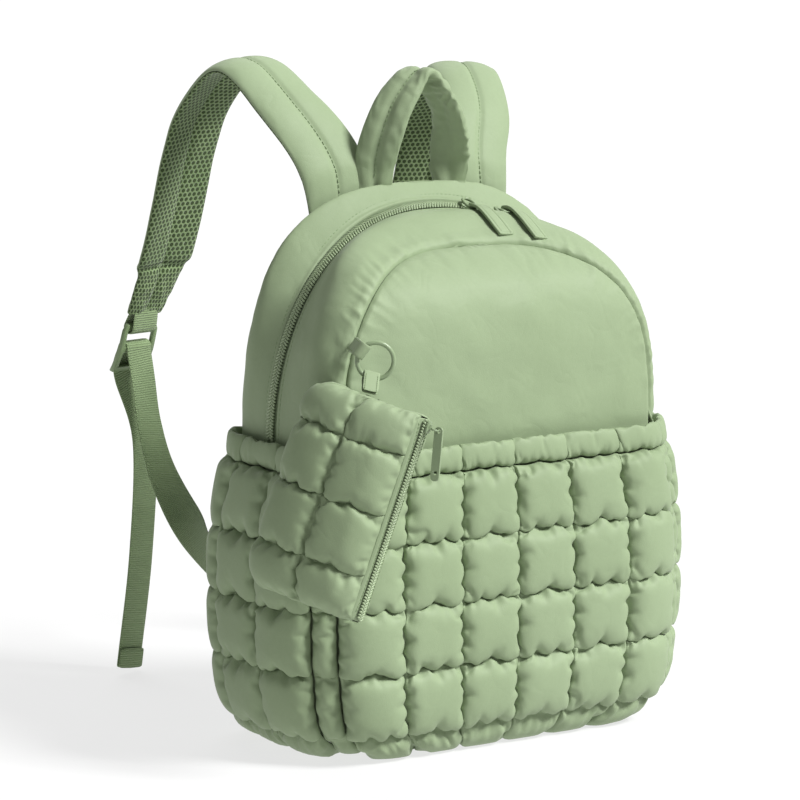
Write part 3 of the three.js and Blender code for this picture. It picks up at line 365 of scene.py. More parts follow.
def layGrid(name, across, along, place, size, facing=None, closed=False):
    # a grid laid on a surface: place(u, v) in millimetres, size its real width and length in metres or how to
    # find them, facing the point that its faces look away from, closed where u = 0 meets u = 1
    deselect()
    bpy.ops.mesh.primitive_grid_add(x_subdivisions=across, y_subdivisions=along, size=1)
    piece = bpy.context.object
    piece.name = piece.data.name = name
    mesh = piece.data
    shares = [(vertex.co.x + 0.5, vertex.co.y + 0.5) for vertex in mesh.vertices]
    strip = mesh.uv_layers[0]
    strip.name = "strip"
    for loop in mesh.loops:
        u, v = shares[loop.vertex_index]
        strip.data[loop.index].uv = size(u, v) if callable(size) else (u * size[0], v * size[1])
    for vertex, (u, v) in zip(mesh.vertices, shares):
        vertex.co = place(u, v) * mm
    bpy.ops.object.mode_set(mode="EDIT")
    bpy.ops.mesh.select_all(action="SELECT")
    if closed:
        bpy.ops.mesh.remove_doubles(threshold=0.00002)
        bpy.ops.mesh.select_all(action="DESELECT")
        bpy.ops.mesh.select_mode(type="EDGE")
        bpy.ops.mesh.select_non_manifold()
        bpy.ops.mesh.fill_holes(sides=0)
        bpy.ops.mesh.select_all(action="SELECT")
        bpy.ops.mesh.normals_make_consistent(inside=False)
    elif facing is not None:
        bpy.ops.object.mode_set(mode="OBJECT")
        away = Vector(facing) * mm
        if sum((face.center - away).dot(face.normal) * face.area for face in mesh.polygons) < 0:
            mesh.flip_normals()
    bpy.ops.object.mode_set(mode="OBJECT")
    return piece, shares


def modify(piece, kind, **settings):
    pick(piece)
    modifier = piece.modifiers.new(kind.lower(), kind)
    for key, value in settings.items():
        setattr(modifier, key, value)
    bpy.ops.object.modifier_apply(modifier=modifier.name)


def settle(piece, look, nodes=(), body="bag", wall=0.0, levels=0, angle=None):
    if wall:
        modify(piece, "SOLIDIFY", thickness=wall * mm, offset=-1.0)
    if levels:
        modify(piece, "SUBSURF", levels=levels, render_levels=levels)
    pick(piece)
    if angle:
        bpy.ops.object.shade_smooth_by_angle(angle=math.radians(angle))
    else:
        bpy.ops.object.shade_smooth()
    look.putOn(piece)
    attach(piece, body)
    if nodes:
        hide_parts(*nodes)
    print("made", piece.name, len(piece.data.polygons))
    return piece


def template(piece):        # vertices and faces of a small primitive, which is then removed
    parts = [vertex.co.copy() for vertex in piece.data.vertices], [tuple(face.vertices) for face in piece.data.polygons]
    bpy.data.objects.remove(piece)
    return parts


def copies(name, shape, places):        # one mesh of many copies, each by its matrix in millimetres
    corners, faces = shape
    points, copied = [], []
    for place in places:
        start = len(points)
        points += [place @ corner * mm for corner in corners]
        copied += [tuple(start + index for index in face) for face in faces]
    mesh = bpy.data.meshes.new(name)
    mesh.from_pydata(points, [], copied)
    piece = bpy.data.objects.new(name, mesh)
    bpy.context.collection.objects.link(piece)
    return piece


def axes(point, along, out):        # a matrix with x along and z out
    along = (along - out * along.dot(out)).normalized()
    wide = out.cross(along).normalized()
    return Matrix.Translation(point) @ Matrix((along, wide, out)).transposed().to_4x4()


def stitchPlaces(line, pitch=3.6, turn=math.pi / 2):        # (point, out) pairs; a copy at every pitch
    places, left = [], 0.0
    quarter = Matrix.Rotation(turn, 4, "Z")
    for (a, outA), (b, outB) in zip(line, line[1:]):
        span = (b - a).length
        while left < span:
            t = left / span
            places.append(axes(a.lerp(b, t), b - a, outA.lerp(outB, t).normalized()) @ quarter)
            left += pitch
        left -= span
    return places


# The wrapped pocket's surface, in millimetres
pocket = {
    "height": 215, "halfWidth": 162, "front": 94, "back": 57, "corner": 58, "backWidth": 127,
    "backCorner": 34, "channel": 18, "rowHeight": 44, "tuck": 21, "hem": 18, "rows": 4,
    # height, width, front, back, corner, width of the back, as shares of the sizes above
    "sections": [
        (0, 0.64, 0.6, 0.66, 0.69, 0.84), (0.028, 0.775, 0.79, 0.86, 0.8, 0.945),
        (0.098, 0.922, 0.936, 0.93, 0.9, 0.99), (0.302, 0.988, 0.989, 0.982, 1, 1),
        (0.507, 1, 1, 1, 1, 1), (0.712, 0.986, 0.989, 1, 0.96, 1),
        (0.916, 0.925, 0.957, 0.982, 0.79, 1), (1, 0.9, 0.936, 0.982, 0.69, 1)],
    "sideColumns": 3, "frontColumns": 6,
}
hemSeam = pocket["height"] - pocket["hem"]
frontEdge = pocket["sideColumns"] + 1
middleColumn = frontEdge + pocket["frontColumns"] // 2
allColumns = 2 * middleColumn
rowSeams = [0.4] + [pocket["tuck"] + row * pocket["rowHeight"] for row in range(pocket["rows"] + 1)]


@lru_cache(maxsize=None)
def halfPlan(height):        # back edge, round the left corner, to the middle of the front
    share = clamp(height / pocket["height"])
    sizes = [pocket[name] for name in ("halfWidth", "front", "back", "corner", "backWidth")]
    width, front, back, corner, backWidth = (
        size * tableValue(pocket["sections"], column, share) for column, size in enumerate(sizes, start=1))
    points = []
    for i in range(22):
        turn = i / 21 * math.pi / 2
        points.append(Vector((-(backWidth + (width - backWidth) * math.sin(turn)),
                              back - pocket["backCorner"] * (1 - math.cos(turn)), height)))
    for i in range(31):
        turn = i / 30 * math.pi / 2
        points.append(Vector((-(width - corner + corner * math.cos(turn)),
                              -(front - corner + corner * math.sin(turn)), height)))
    points.append(Vector((0, -front, height)))
    lengths = [0.0]
    for a, b in zip(points, points[1:]):
        lengths.append(lengths[-1] + (b - a).length)
    return points, lengths, lengths[22 + 15]


def seamPoint(column, height):
    points, lengths, corner = halfPlan(round(height, 2))
    left = column if column <= middleColumn else allColumns - column
    rear, fore = corner - pocket["channel"] / 2, corner + pocket["channel"] / 2
    sides = pocket["sideColumns"]
    if left < sides:
        length = rear * left / sides
    elif left < frontEdge:
        length = mix(rear, fore, left - sides)
    else:
        length = mix(fore, lengths[-1], (left - frontEdge) / (pocket["frontColumns"] / 2))
    i = 1
    while i < len(lengths) - 1 and lengths[i] < length:
        i += 1
    point = points[i - 1].lerp(points[i], (length - lengths[i - 1]) / (lengths[i] - lengths[i - 1]))
    if column > middleColumn:
        point.x = -point.x
    return point


def pocketNormal(column, height):
    c, h = clamp(column, 0.03, allColumns - 0.03), clamp(height, 1, pocket["height"] - 1)
    along = seamPoint(c + 0.03, h) - seamPoint(c - 0.03, h)
    up = seamPoint(c, h + 1) - seamPoint(c, h - 1)
    return along.cross(up).normalized()


def pocketPoint(column, height, offset):
    return seamPoint(column, height) + pocketNormal(column, height) * offset


# Quilting: each cell is blown up as cloth that is sewn down along its seams
quilt = {
    "cellSteps": (22, 20), "channelSteps": 7, "start": 5.0, "seam": -1.3,
    "scallop": 3.2, "waver": 1.5, "pressure": 6.0, "grow": 0.2, "frames": 26, "reach": 11.5, "lap": 2.6,
    "gather": 3.2,
}


def scallopWave(at, cell, bumps, strength):        # arcs that meet in points, fitted to one cell
    swell = 1 + 0.35 * ripple(cell * 3.7, bumps, math.floor(at * bumps) * 1.3)
    arc = abs(math.sin(math.pi * bumps * at)) ** 0.8 * swell - 0.6
    return strength * arc + 0.6 * ripple(at * 2.7, cell * 3.1, bumps)


def quiltWarp(column, height):        # how far the seams wander sideways and up
    row = min(range(len(rowSeams)), key=lambda i: abs(rowSeams[i] - height))
    near = clamp(1 - abs(rowSeams[row] - height) / 16) ** 2
    cell = math.floor(column)
    bumps = 2 + (cell * 7 + row * 5) % 2
    up = -near * scallopWave(column - cell, cell + row * 17, bumps, quilt["scallop"] if row < 5 else 1.6)
    if row == 0:
        up = 0
    line = round(column)
    beside = clamp(1 - abs(column - line) / 0.35) ** 2
    share = (height - rowSeams[1]) / pocket["rowHeight"]
    side = beside * 0.022 * scallopWave(share % 1, line * 5, 3 + (line + int(share)) % 2, quilt["waver"])
    return column + side, height + up


def inflate(piece, sewn, pressure, grow, frames, scale=20.0):
    # the cloth is worked at a larger scale, where it behaves as a soft sheet
    mesh = piece.data
    for vertex in mesh.vertices:
        vertex.co *= scale
    group = piece.vertex_groups.new(name="sewn")
    group.add(sewn, 1.0, "REPLACE")
    pick(piece)
    cloth = piece.modifiers.new("cloth", "CLOTH")
    settings = cloth.settings
    settings.quality = 5
    settings.mass = 0.3
    settings.air_damping = 3
    settings.tension_stiffness = settings.compression_stiffness = 15
    settings.shear_stiffness = 5
    settings.bending_stiffness = 0.15
    settings.vertex_group_mass = "sewn"
    settings.use_pressure = True
    settings.uniform_pressure_force = pressure
    settings.shrink_min = -grow
    settings.effector_weights.gravity = 0
    cloth.collision_settings.use_collision = False
    scene = bpy.context.scene
    cloth.point_cache.frame_start, cloth.point_cache.frame_end = 1, frames
    for number in range(1, frames + 1):
        scene.frame_set(number)
    bpy.ops.object.modifier_apply(modifier=cloth.name)
    scene.frame_set(1)
    piece.vertex_groups.clear()
    for vertex in mesh.vertices:
        vertex.co /= scale


def stationsOf(seams, steps):        # a list of places with each seam's own index marked
    places, seamAt = [], set()
    for i, (a, b) in enumerate(zip(seams, seams[1:])):
        count = steps[i] if isinstance(steps, list) else steps
        seamAt.add(len(places))
        places += [mix(a, b, mix(k / count, 0.5 - 0.5 * math.cos(math.pi * k / count), 0.5)) for k in range(count)]
    seamAt.add(len(places))
    places.append(seams[-1])
    return places, seamAt


def quiltPanel(name, first, last, cellSteps, nodes, seams=None):
    seams = seams or rowSeams
    columns, columnSeams = stationsOf(list(range(first, last + 1)), cellSteps)
    heights, heightSeams = stationsOf(seams, [8] + [quilt["cellSteps"][1]] * pocket["rows"] + [7])
    across, up = len(columns) - 1, len(heights) - 1
    base = {}

    def place(u, v):
        i, j = round(u * across), round(v * up)
        column, height = quiltWarp(columns[i], heights[j])
        column = clamp(column, first + 0.004, last - 0.004)
        normal = pocketNormal(column, height)
        if i in columnSeams or j in heightSeams:
            out = quilt["seam"] * (0.7 + 0.5 * ripple(column * 2.3, height * 0.05, 7))
        else:
            out = quilt["start"] * (0.7 + 0.3 * ripple(column * 9, height * 0.2, 1)) * (0.5 if last - first == 1 else 1)
        base[i, j] = (seamPoint(column, height), normal)
        return base[i, j][0] + normal * out

    size = ((last - first) * 0.054, seams[-1] * mm)
    piece, shares = layGrid(name, across, up, place, size, facing=(0, 0, 110))
    keys = [(round(u * across), round(v * up)) for u, v in shares]
    sewn = [index for index, (i, j) in enumerate(keys) if i in columnSeams or j in heightSeams]
    inflate(piece, sewn, quilt["pressure"], quilt["grow"], quilt["frames"])
    for vertex, (i, j) in zip(piece.data.vertices, keys):
        foot, normal = base[i, j]
        out = (vertex.co / mm - foot).dot(normal)
        full = quilt["reach"] * math.tanh(out / quilt["reach"] * 1.15) if out > 0 else max(out, quilt["seam"] * 1.3)
        # a cell hangs a little over the seam below it
        below = max((seam for seam in seams if seam <= heights[j]), default=0)
        above = min((seam for seam in seams if seam >= heights[j]), default=999)
        valley = 1 - clamp(abs(ripple(columns[i] * 7.5, above * 0.37, 4)) * 4.5)
        full -= quilt["gather"] * valley * math.exp(-(((above - heights[j] - 3) / 5) ** 2)) * clamp(full / 5)
        near = math.exp(-(((heights[j] - below) / 11) ** 2)) if below > 1 else 0
        lap = quilt["lap"] * clamp(full / quilt["reach"]) * near
        vertex.co += (normal * (full - out) - Vector((0, 0, lap))) * mm
    for vertex in piece.data.vertices:
        vertex.co.z = max(vertex.co.z, 0.3 * mm)
    return settle(piece, quiltCloth, nodes, wall=0.9, levels=1)


# The gathered hem, a casing that turns over at its top
hem = {
    "grow": 0.2, "pressure": 4.0, "steps": 26, "scallop": 2.2, "fold": 1.5, "reach": 6.5,
    # height and way out, from its stitches over its top edge and down behind
    "profile": [(197.4, -0.9), (198.3, 1.6), (199.8, 2.8), (202.5, 3.4), (206, 3.6), (209.5, 3.2), (212.5, 2.5),
                (214.6, 1.5), (215.4, 0.2), (214.8, -1.2), (212.6, -1.9), (209, -2.1), (205, -2.2)],
}


def hemPanel(name, first, last, nodes):
    columns, columnSeams = stationsOf(list(range(first, last + 1)), hem["steps"])
    across, up = len(columns) - 1, len(hem["profile"]) - 1
    base = {}

    def place(u, v):
        i, j = round(u * across), round(v * up)
        column = clamp(columns[i], first + 0.004, last - 0.004)
        height, out = hem["profile"][j]
        column, warped = quiltWarp(column, height) if j < 4 else (column, height)
        column = clamp(column, first + 0.004, last - 0.004)
        height = mix(warped, height, clamp(j / 4))
        share = column % 1
        swell = hem["scallop"] * (abs(math.sin(math.pi * share)) ** 0.7 - 0.5) + 0.7 * ripple(column * 4, 3)
        height += swell * (j / up) ** 0.6
        if i in columnSeams:
            out = out * 0.1 - 0.7 if j < 9 else out
        elif 0 < j < up - 2:
            out += hem["fold"] * (1.4 * abs(ripple(column * 6 + j * 0.12, height * 0.02, 3)) - 0.3)
        base[i, j] = seamPoint(column, height), pocketNormal(column, height)
        return base[i, j][0] + base[i, j][1] * out

    size = ((last - first) * 0.054, 0.036)
    piece, shares = layGrid(name, across, up, place, size, facing=(0, 0, 110))
    keys = [(round(u * across), round(v * up)) for u, v in shares]
    sewn = [index for index, (i, j) in enumerate(keys) if i in columnSeams or j in (0, up, up - 1)]
    inflate(piece, sewn, hem["pressure"], hem["grow"], quilt["frames"])
    for vertex, (i, j) in zip(piece.data.vertices, keys):
        foot, normal = base[i, j]
        out = (vertex.co / mm - foot).dot(normal)
        full = clamp(hem["reach"] * math.tanh(out / hem["reach"]), -2.6, hem["reach"])
        vertex.co += normal * ((full - out) * mm)
    return settle(piece, quiltCloth, nodes, wall=0.8, levels=1)


# The smooth bag's surface: a place is 0 at its back seam and 1 at its front seam
bag = {
    "rise": 161, "inset": 4.5, "seamColumn": 3.72, "floor": 12, "zip": 0.41, "opening": 9.4,
    "zipFoot": 170, "wall": 1.6, "archShare": 0.52, "outline": 900,
    # place, top, depth, roundness, lean
    "arches": [(0, 0.986, 0.33, 2.44, 1.8), (0.2, 1.04, 0.35, 2.75, 1.8), (0.41, 0.94, 0.17, 2.08, 3),
               (0.7, 0.922, -0.09, 2.9, 5), (1, 0.805, -0.4, 2.87, 7)],
}


def stationAt(share):        # round the outline from the left foot, over the arch, to the right foot
    side = (1 - bag["archShare"]) / 2
    if share < side:
        return "left", mix(bag["floor"], pocket["height"], share / side)
    if share > 1 - side:
        return "right", mix(pocket["height"], bag["floor"], (share - 1 + side) / side)
    return "arch", 180 - 180 * (share - side) / bag["archShare"]


def archSizes(place):
    return (tableValue(bag["arches"], column, place) for column in (1, 2, 3, 4))


@lru_cache(maxsize=None)
def bagPoint(place, station, inset=0.0):
    kind, value = station
    if kind != "arch":
        point = pocketPoint(place * bag["seamColumn"], value, -bag["inset"] - inset)
        return point if kind == "left" else Vector((-point.x, point.y, point.z))
    foot = pocketPoint(place * bag["seamColumn"], pocket["height"], -bag["inset"] - inset)
    top, depth, roundness, lean = archSizes(place)
    cos, sin = math.cos(math.radians(value)), math.sin(math.radians(value))
    lift = abs(sin) ** (2 / roundness)
    crown = pocket["front"] * depth + (inset * 0.5 if place > 0.5 else 0)
    return Vector((-foot.x * math.copysign(abs(cos) ** (2 / roundness), cos),
                   mix(foot.y, crown, lift**lean),
                   pocket["height"] + (bag["rise"] * top - inset) * lift))


@lru_cache(maxsize=None)
def bagNormal(place, station):
    kind, value = station
    along = bagPoint(clamp(place + 0.02), station) - bagPoint(clamp(place - 0.02), station)
    if kind == "arch":
        before, after = ("arch", clamp(value - 1, 0, 180)), ("arch", clamp(value + 1, 0, 180))
    else:
        step = 1 if kind == "right" else -1
        before, after = (kind, value + step), (kind, value - step)
    return along.cross(bagPoint(place, before) - bagPoint(place, after)).normalized()


def stationAcross(place, across):
    half = abs(pocketPoint(place * bag["seamColumn"], pocket["height"], -bag["inset"]).x)
    roundness = tableValue(bag["arches"], 3, place)
    cos = (abs(across) / half) ** (roundness / 2)
    return "arch", math.degrees(math.acos(math.copysign(cos, across)))


def placeWidth(place, station, width):        # how much of the place a width in millimetres takes
    return width * 0.04 / (bagPoint(place + 0.02, station) - bagPoint(place - 0.02, station)).length


def zipEdge(station, side):
    kind, value = station
    opening = mix(0.6, bag["opening"], 1 if kind == "arch" else ease(value, bag["zipFoot"] - 2, bag["zipFoot"] + 4))
    return bag["zip"] + side * placeWidth(bag["zip"], station, opening / 2)


def softFolds(point):        # slow waves in the cloth of the smooth bag
    p = point / 44
    fold = 1.5 * ripple(p.x, p.y, p.z) + 0.5 * ripple(p.x * 2.3, p.y * 2.3, p.z * 2.3 + 9)
    drag = ripple((point.x + point.z) / 26, (point.x - point.z) / 120, 4.5)
    near = math.exp(-((point - Vector((-110, -80, 285))).length / 70) ** 2)
    return fold + 1.7 * drag * near


def pucker(distance, along, strength, reach, seed, length=7.5):
    return strength * math.exp(-distance / reach) * (2.2 * abs(ripple(along / length, seed, distance / 40)) - 0.45)


def gusset(name, edges, seamsAt, across, look, nodes):
    # edges(station): the two places it spans; seamsAt: what each edge is
    def place(u, v):
        station = stationAt(v)
        low, high = edges(station)
        at = mix(low, high, mix(u, 0.5 - 0.5 * math.cos(math.pi * u), 0.6))
        point, normal = bagPoint(at, station), bagNormal(at, station)
        run = v * bag["outline"]
        near = min(abs(at - edge) / placeWidth(clamp(at, 0.05, 0.95), station, 1.0) for edge in (low, high))
        out = softFolds(point) * ease(near, 2, 22)
        for edge, kind in ((low, seamsAt[0]), (high, seamsAt[1])):
            away = abs(at - edge) / placeWidth(clamp(at, 0.05, 0.95), station, 1.0)
            if kind == "zip":
                out += pucker(away, run, 0.5, 7, 3.3, 9) * ease(away, 2, 6)
                out += 0.5 * math.exp(-(((away - 2.2) / 1.4) ** 2))
                out -= 0.5 * math.exp(-(((away - 4.2) / 0.8) ** 2)) + 1.2 * math.exp(-((away / 0.8) ** 2))
            elif kind == "front":
                out += pucker(away, run, 2.8, 11, 6.1, 9) * ease(away, 0, 3) + 1.2 * math.exp(-(((away - 6) / 5) ** 2))
                out -= 2.8 * math.exp(-((away / 1.3) ** 2)) * (1 + 0.4 * ripple(run / 6, 2))
            else:
                out += pucker(away, run, 0.9, 10, 8.2, 11) - 1.2 * math.exp(-((away / 2.5) ** 2))
        return point + normal * out

    piece, shares = layGrid(name, across, 330, place, (across * 0.0037, bag["outline"] * mm), facing=(0, 0, 170))
    return settle(piece, look, nodes, wall=bag["wall"], levels=1)


# Front panel, set in under the front seam
panel = {"crown": 7, "fullAt": 97, "inset": 0.6, "rows": 126, "across": 86}


def frontPanel():
    edgeLine = [bagPoint(1, stationAt(i / 600)) for i in range(601)]
    tree = kdtree.KDTree(len(edgeLine))
    for index, point in enumerate(edgeLine):
        tree.insert((point.x, 0, point.z), index)
    tree.balance()

    def place(u, v):
        station = stationAt(v * 0.5)
        edge = bagPoint(1, station)
        t = 2 * u - 1
        t = math.copysign(1 - (1 - abs(t)) ** 1.35, t)
        reach = max(abs(edge.x) - panel["inset"], 0)
        fullness = min(abs(edge.x) / panel["fullAt"], 1)
        crown = (1 - abs(t) ** 3) * panel["crown"] * fullness
        apex = panel["inset"] * math.sin(math.radians(station[1])) if station[0] == "arch" else 0
        point = Vector((t * reach, edge.y - crown * (0.9 if station[0] == "left" else 1), edge.z - apex))
        _, index, away = tree.find((point.x, 0, point.z))
        run = index * 1.5
        out = softFolds(point) * ease(away, 0, 30) + pucker(away, run, 1.8, 10, 11.4, 8) * ease(away, 0, 3)
        out -= 2.8 * math.exp(-((away / 1.5) ** 2))
        return point + Vector((0, -out, 0.25 * out))

    piece, shares = layGrid("front_cloth", panel["across"], panel["rows"], place, (0.25, 0.36), facing=(0, 100, 150))
    return settle(piece, shellCloth, ["front_panel"], wall=bag["wall"], levels=1)


# Back panel of padded mesh, with stitched channels
backPad = {"crown": 3, "thickness": 8, "channels": (-0.36, 0.36), "groove": 2.2}


def backPanel():
    def place(u, v):
        outer = u < 0.62
        t = mix(-1, 1, u / 0.62) if outer else mix(1, -1, (u - 0.62) / 0.38)
        station = stationAt(v * 0.5)
        edge = bagPoint(0, station)
        over = math.sin(math.radians(station[1])) if station[0] == "arch" else 0
        away = 0.8 + 2.8 * over
        reach = max(abs(edge.x) - away * (1 - 0.6 * over), 0)
        height = max(edge.z - away * over, bag["floor"])
        height -= 8.4 * (1 - ease(height, bag["floor"], 36))
        if outer:
            crown = backPad["crown"] * (1 - t**4) + 0.5 * ripple(t * 3, height / 50, 2)
            for channel in backPad["channels"]:
                crown -= backPad["groove"] * math.exp(-((t - channel) / 0.03) ** 2)
            crown -= 1.5 * math.exp(-((abs(t) - 1) / 0.02) ** 2)
        else:
            crown = backPad["crown"] - backPad["thickness"]
        return Vector((t * reach, edge.y + 0.4 + crown, height))

    def real(u, v):
        point = place(u, v)
        return point.x * mm, point.z * mm

    piece, shares = layGrid("back_padding", 110, 110, place, real, closed=True)
    return settle(piece, meshCloth, ["back_panel"])


# Main zip: recessed tape, coil and stitched welts
mainZip = {"recess": 0.3, "tapeHalf": 4.9, "pitch": 2.2, "inset": 5, "welt": 4.2, "coil": 3.9, "chain": 1.5}


def zipRange():
    side = (1 - bag["archShare"]) / 2
    foot = (bag["zipFoot"] + mainZip["inset"] - bag["floor"]) / (pocket["height"] - bag["floor"])
    return side * foot, 1 - side * foot


def zipLine(seam, lift, count=420, across=0.0):        # (point, out) along the zip at a distance across
    low, high = zipRange()
    line = []
    for i in range(count + 1):
        station = stationAt(mix(low, high, i / count))
        at = seam + placeWidth(seam, station, across)
        line.append((bagPoint(at, station) + bagNormal(at, station) * lift, bagNormal(at, station)))
    return line


def taperedBar(name, sides, length, width, height, drop):        # a short bar whose two ends turn down
    deselect()
    bpy.ops.mesh.primitive_cylinder_add(vertices=sides, radius=0.5, depth=1, rotation=(math.pi / 2, 0, 0))
    bar = bpy.context.object
    bar.name = name
    bpy.ops.object.transform_apply(rotation=True)
    bpy.ops.object.mode_set(mode="EDIT")
    bpy.ops.transform.resize(value=(width, length * 0.66, height))
    for end in (-1, 1):
        chooseFaces(bar, lambda face: face.normal.y * end > 0.9)
        bpy.ops.mesh.extrude_region_move(TRANSFORM_OT_translate={"value": (0, end * length * 0.17, -drop)})
        bpy.ops.transform.resize(value=(0.6, 1, 0.6))
    bpy.ops.object.mode_set(mode="OBJECT")
    return template(bar)


def teeth(line, pitch, half, lean=0.5):        # two slanted rows that meet along the line
    places = []
    for spot in stitchPlaces(line, pitch, 0):
        for side in (-1, 1):
            turn = Matrix.Rotation(side * lean, 4, "Z")
            shift = Matrix.Translation((side * pitch * 0.25, side * half * 0.5, 0))
            places.append(spot @ shift @ turn)
    return places


def addMainZip():
    low, high = zipRange()

    def tape(u, v):
        station = stationAt(mix(low, high, v))
        across = mix(-mainZip["tapeHalf"], mainZip["tapeHalf"], u)
        at = bag["zip"] + placeWidth(bag["zip"], station, across)
        rise = 0.5 * math.exp(-((abs(across) / 2.6) ** 4)) - mainZip["recess"]
        return bagPoint(at, station) + bagNormal(at, station) * rise

    piece, shares = layGrid("zip_tape", 14, 300, tape, (0.0092, 0.74), facing=(0, 0, 170))
    settle(piece, tapeCloth, ["main_zip"], wall=0.7)
    coil = copies("zip_coil", tooth, teeth(zipLine(bag["zip"], mainZip["chain"]), mainZip["pitch"], mainZip["coil"]))
    settle(coil, coilPlastic, angle=50)
    for name, side in (("rear", -1), ("front", 1)):
        across = side * (bag["opening"] / 2 + mainZip["welt"])
        line = zipLine(bag["zip"], -0.25, across=across)
        settle(copies("zip_stitches_" + name, stitch, stitchPlaces(line, 3.4)), thread)


# Closed bands along a route
def band(name, frames, outline, look, nodes=(), levels=1, body="bag", wave=None):
    # outline: round the closed section, how to find (across, way out) in millimetres at a share along
    count, length = len(outline), len(frames) - 1

    def place(u, v):
        point, wide, out, forward = frames[round(v * length)]
        across, rise = outline[round(u * count) % count](v)
        offset = point + wide * across + out * rise
        return offset + (wave(across, rise, v, offset) if wave else Vector())

    section = [Vector(part(0.5)) for part in outline]
    rounds, run = [0.0], [0.0]
    for a, b in zip(section, [*section[1:], section[0]]):
        rounds.append(rounds[-1] + (b - a).length * mm)
    for a, b in zip(frames, frames[1:]):
        run.append(run[-1] + (b[0] - a[0]).length * mm)
    piece, shares = layGrid(name, count, length, place,
                            lambda u, v: (rounds[round(u * count)], run[round(v * length)]), closed=True)
    return settle(piece, look, nodes, body=body, levels=levels)


def flatOutline(width, thick, edges=6):        # a flat ribbon with round edges
    half, points = width / 2 - thick / 2, []
    for side in (1, -1):
        for i in range(edges + 1):
            across = side * mix(-half, half, i / edges)
            points.append((across, side * thick / 2))
        points.append((side * (half + thick * 0.42), side * thick * 0.22))
        points.append((side * (half + thick * 0.42), -side * thick * 0.22))
    return [lambda v, p=p: p for p in points]


strap = {
    "spacing": 124, "width": 54, "reach": 194, "hang": 193, "yaw": 16, "curl": 4,
    "endShare": 0.66, "seat": 3.0, "footBack": 2.7, "rise": 4.3, "lining": 3.6, "groove": 2.0,
    "sides": [{"name": "left", "side": -1, "splay": 48, "arch": 102, "inward": 4},
              {"name": "right", "side": 1, "splay": 62, "arch": 92, "inward": 0}],
    # out, back, rise, hang
    "route": [(0, 0, 0, 0), (0.02, 0.07, 0.36, 0), (0.33, 0.2, 0.73, 0), (0.56, 0.43, 1, 0),
              (0.75, 0.65, 1, 0.17), (0.8, 0.74, 1, 0.33), (0.83, 0.85, 1, 0.62),
              (0.87, 0.92, 1, 0.8), (1, 1, 1, 1)],
}
belt = {
    "width": 25, "thick": 1.6, "loop": 4, "gap": 0.5, "plate": {"width": 34, "height": 40, "thick": 4, "bar": 5.5},
    "lean": (0.12, 0.35), "anchorHeight": 92, "anchorReach": 26, "anchorTall": 44, "anchorThick": 3.6,
    "floorGap": 3, "bow": 8, "hem": 16,
    "rise": [(0, 0, 0), (0.75, 0.46, 0.17), (1.05, 0.78, 0.39), (1.14, 0.93, 0.62), (1.1, 0.98, 0.85), (1, 1, 1)],
    "tail": [(1.9, 0.3), (1.4, 0.65), (-0.1, 1)],
}


def padSection(face, count=26):
    # one half of the pad's section: its rounded face and a flat back along the middle
    def surface(a):
        def at(v):
            narrow = strapNarrow(v)
            start = min(0.5 + v * 6, 1)
            width = strap["width"] / 2 * mix(1, strap["endShare"], narrow)
            rise = strap["rise"] if face > 0 else strap["lining"]
            w = abs(a)
            height = rise * max(1 - w**7, 0) ** 0.5 * (0.84 + 0.16 * math.sin(math.pi * w))
            groove = strap["groove"] * math.exp(-((w / 0.05) ** 2)) * (1 if face > 0 else 0.8)
            height = (height - groove) * start * mix(1, 0.75, narrow)
            curl = strap["curl"] * min(v * 4, 1) * (1 - narrow) * a * a
            return a * width, face * max(height, 0.25) - curl
        return at

    def back(a):
        def at(v):
            narrow = strapNarrow(v)
            width = strap["width"] / 2 * mix(1, strap["endShare"], narrow)
            curl = strap["curl"] * min(v * 4, 1) * (1 - narrow) * a * a
            return a * width, face * 0.15 - curl
        return at

    spread = [mix(-1, 1, i / count) for i in range(count + 1)]
    shares = [math.sin(math.pi / 2 * share) * 0.5 + 0.5 * share for share in spread]
    return [surface(a) for a in shares] + [back(a) for a in (0.94, 0.5, 0, -0.5, -0.94)]


def strapNarrow(v):
    return 0.6 * ease(v, 0.87, 0.92) + 0.4 * ease(v, 0.92, 1)


def strapFrames(side, splay, arch, inward, count):
    foot = bagPoint(0, stationAcross(0, side * strap["spacing"] / 2))
    inner = bagPoint(0, stationAcross(0, side * (strap["spacing"] / 2 - 20)))
    slope = inner - foot
    slope = (Vector((slope.x, 0, slope.z)) * -side).normalized()
    seat = foot + Vector((0, strap["footBack"], strap["seat"]))
    points = routePoints([Vector((seat.x + side * splay * out, seat.y + strap["reach"] * back,
                                  seat.z + arch * rise - strap["hang"] * hang))
                          for out, back, rise, hang in strap["route"]], count)
    for _ in range(30):
        points = [points[0], *((a + b * 2 + c) / 4 for a, b, c in zip(points, points[1:], points[2:])), points[-1]]
    for i in range(count // 12):        # the root goes down behind the crest
        sink = 1 - ease(i, 0, count / 12)
        points[i] = points[i] + Vector((0, 2.6, -10)) * sink
    points = [point - Vector((side * inward * (1 - ease(i, 0, count / 4)), 0, 0)) for i, point in enumerate(points)]
    yaw = -side * math.radians(strap["yaw"])
    wide = Vector((math.cos(yaw), math.sin(yaw), 0))
    return framesAlong(points, lambda t: slope.lerp(wide, min(t * 2.2, 1))), wide


def turnRound(middle, pull, side, radius, legs=0.0, steps=12):
    arc = [middle + side * (radius * math.cos(math.pi * i / steps)) - pull * (radius * math.sin(math.pi * i / steps))
           for i in range(steps + 1)]
    return [arc[0] + pull * legs, *arc, arc[-1] + pull * legs] if legs else arc


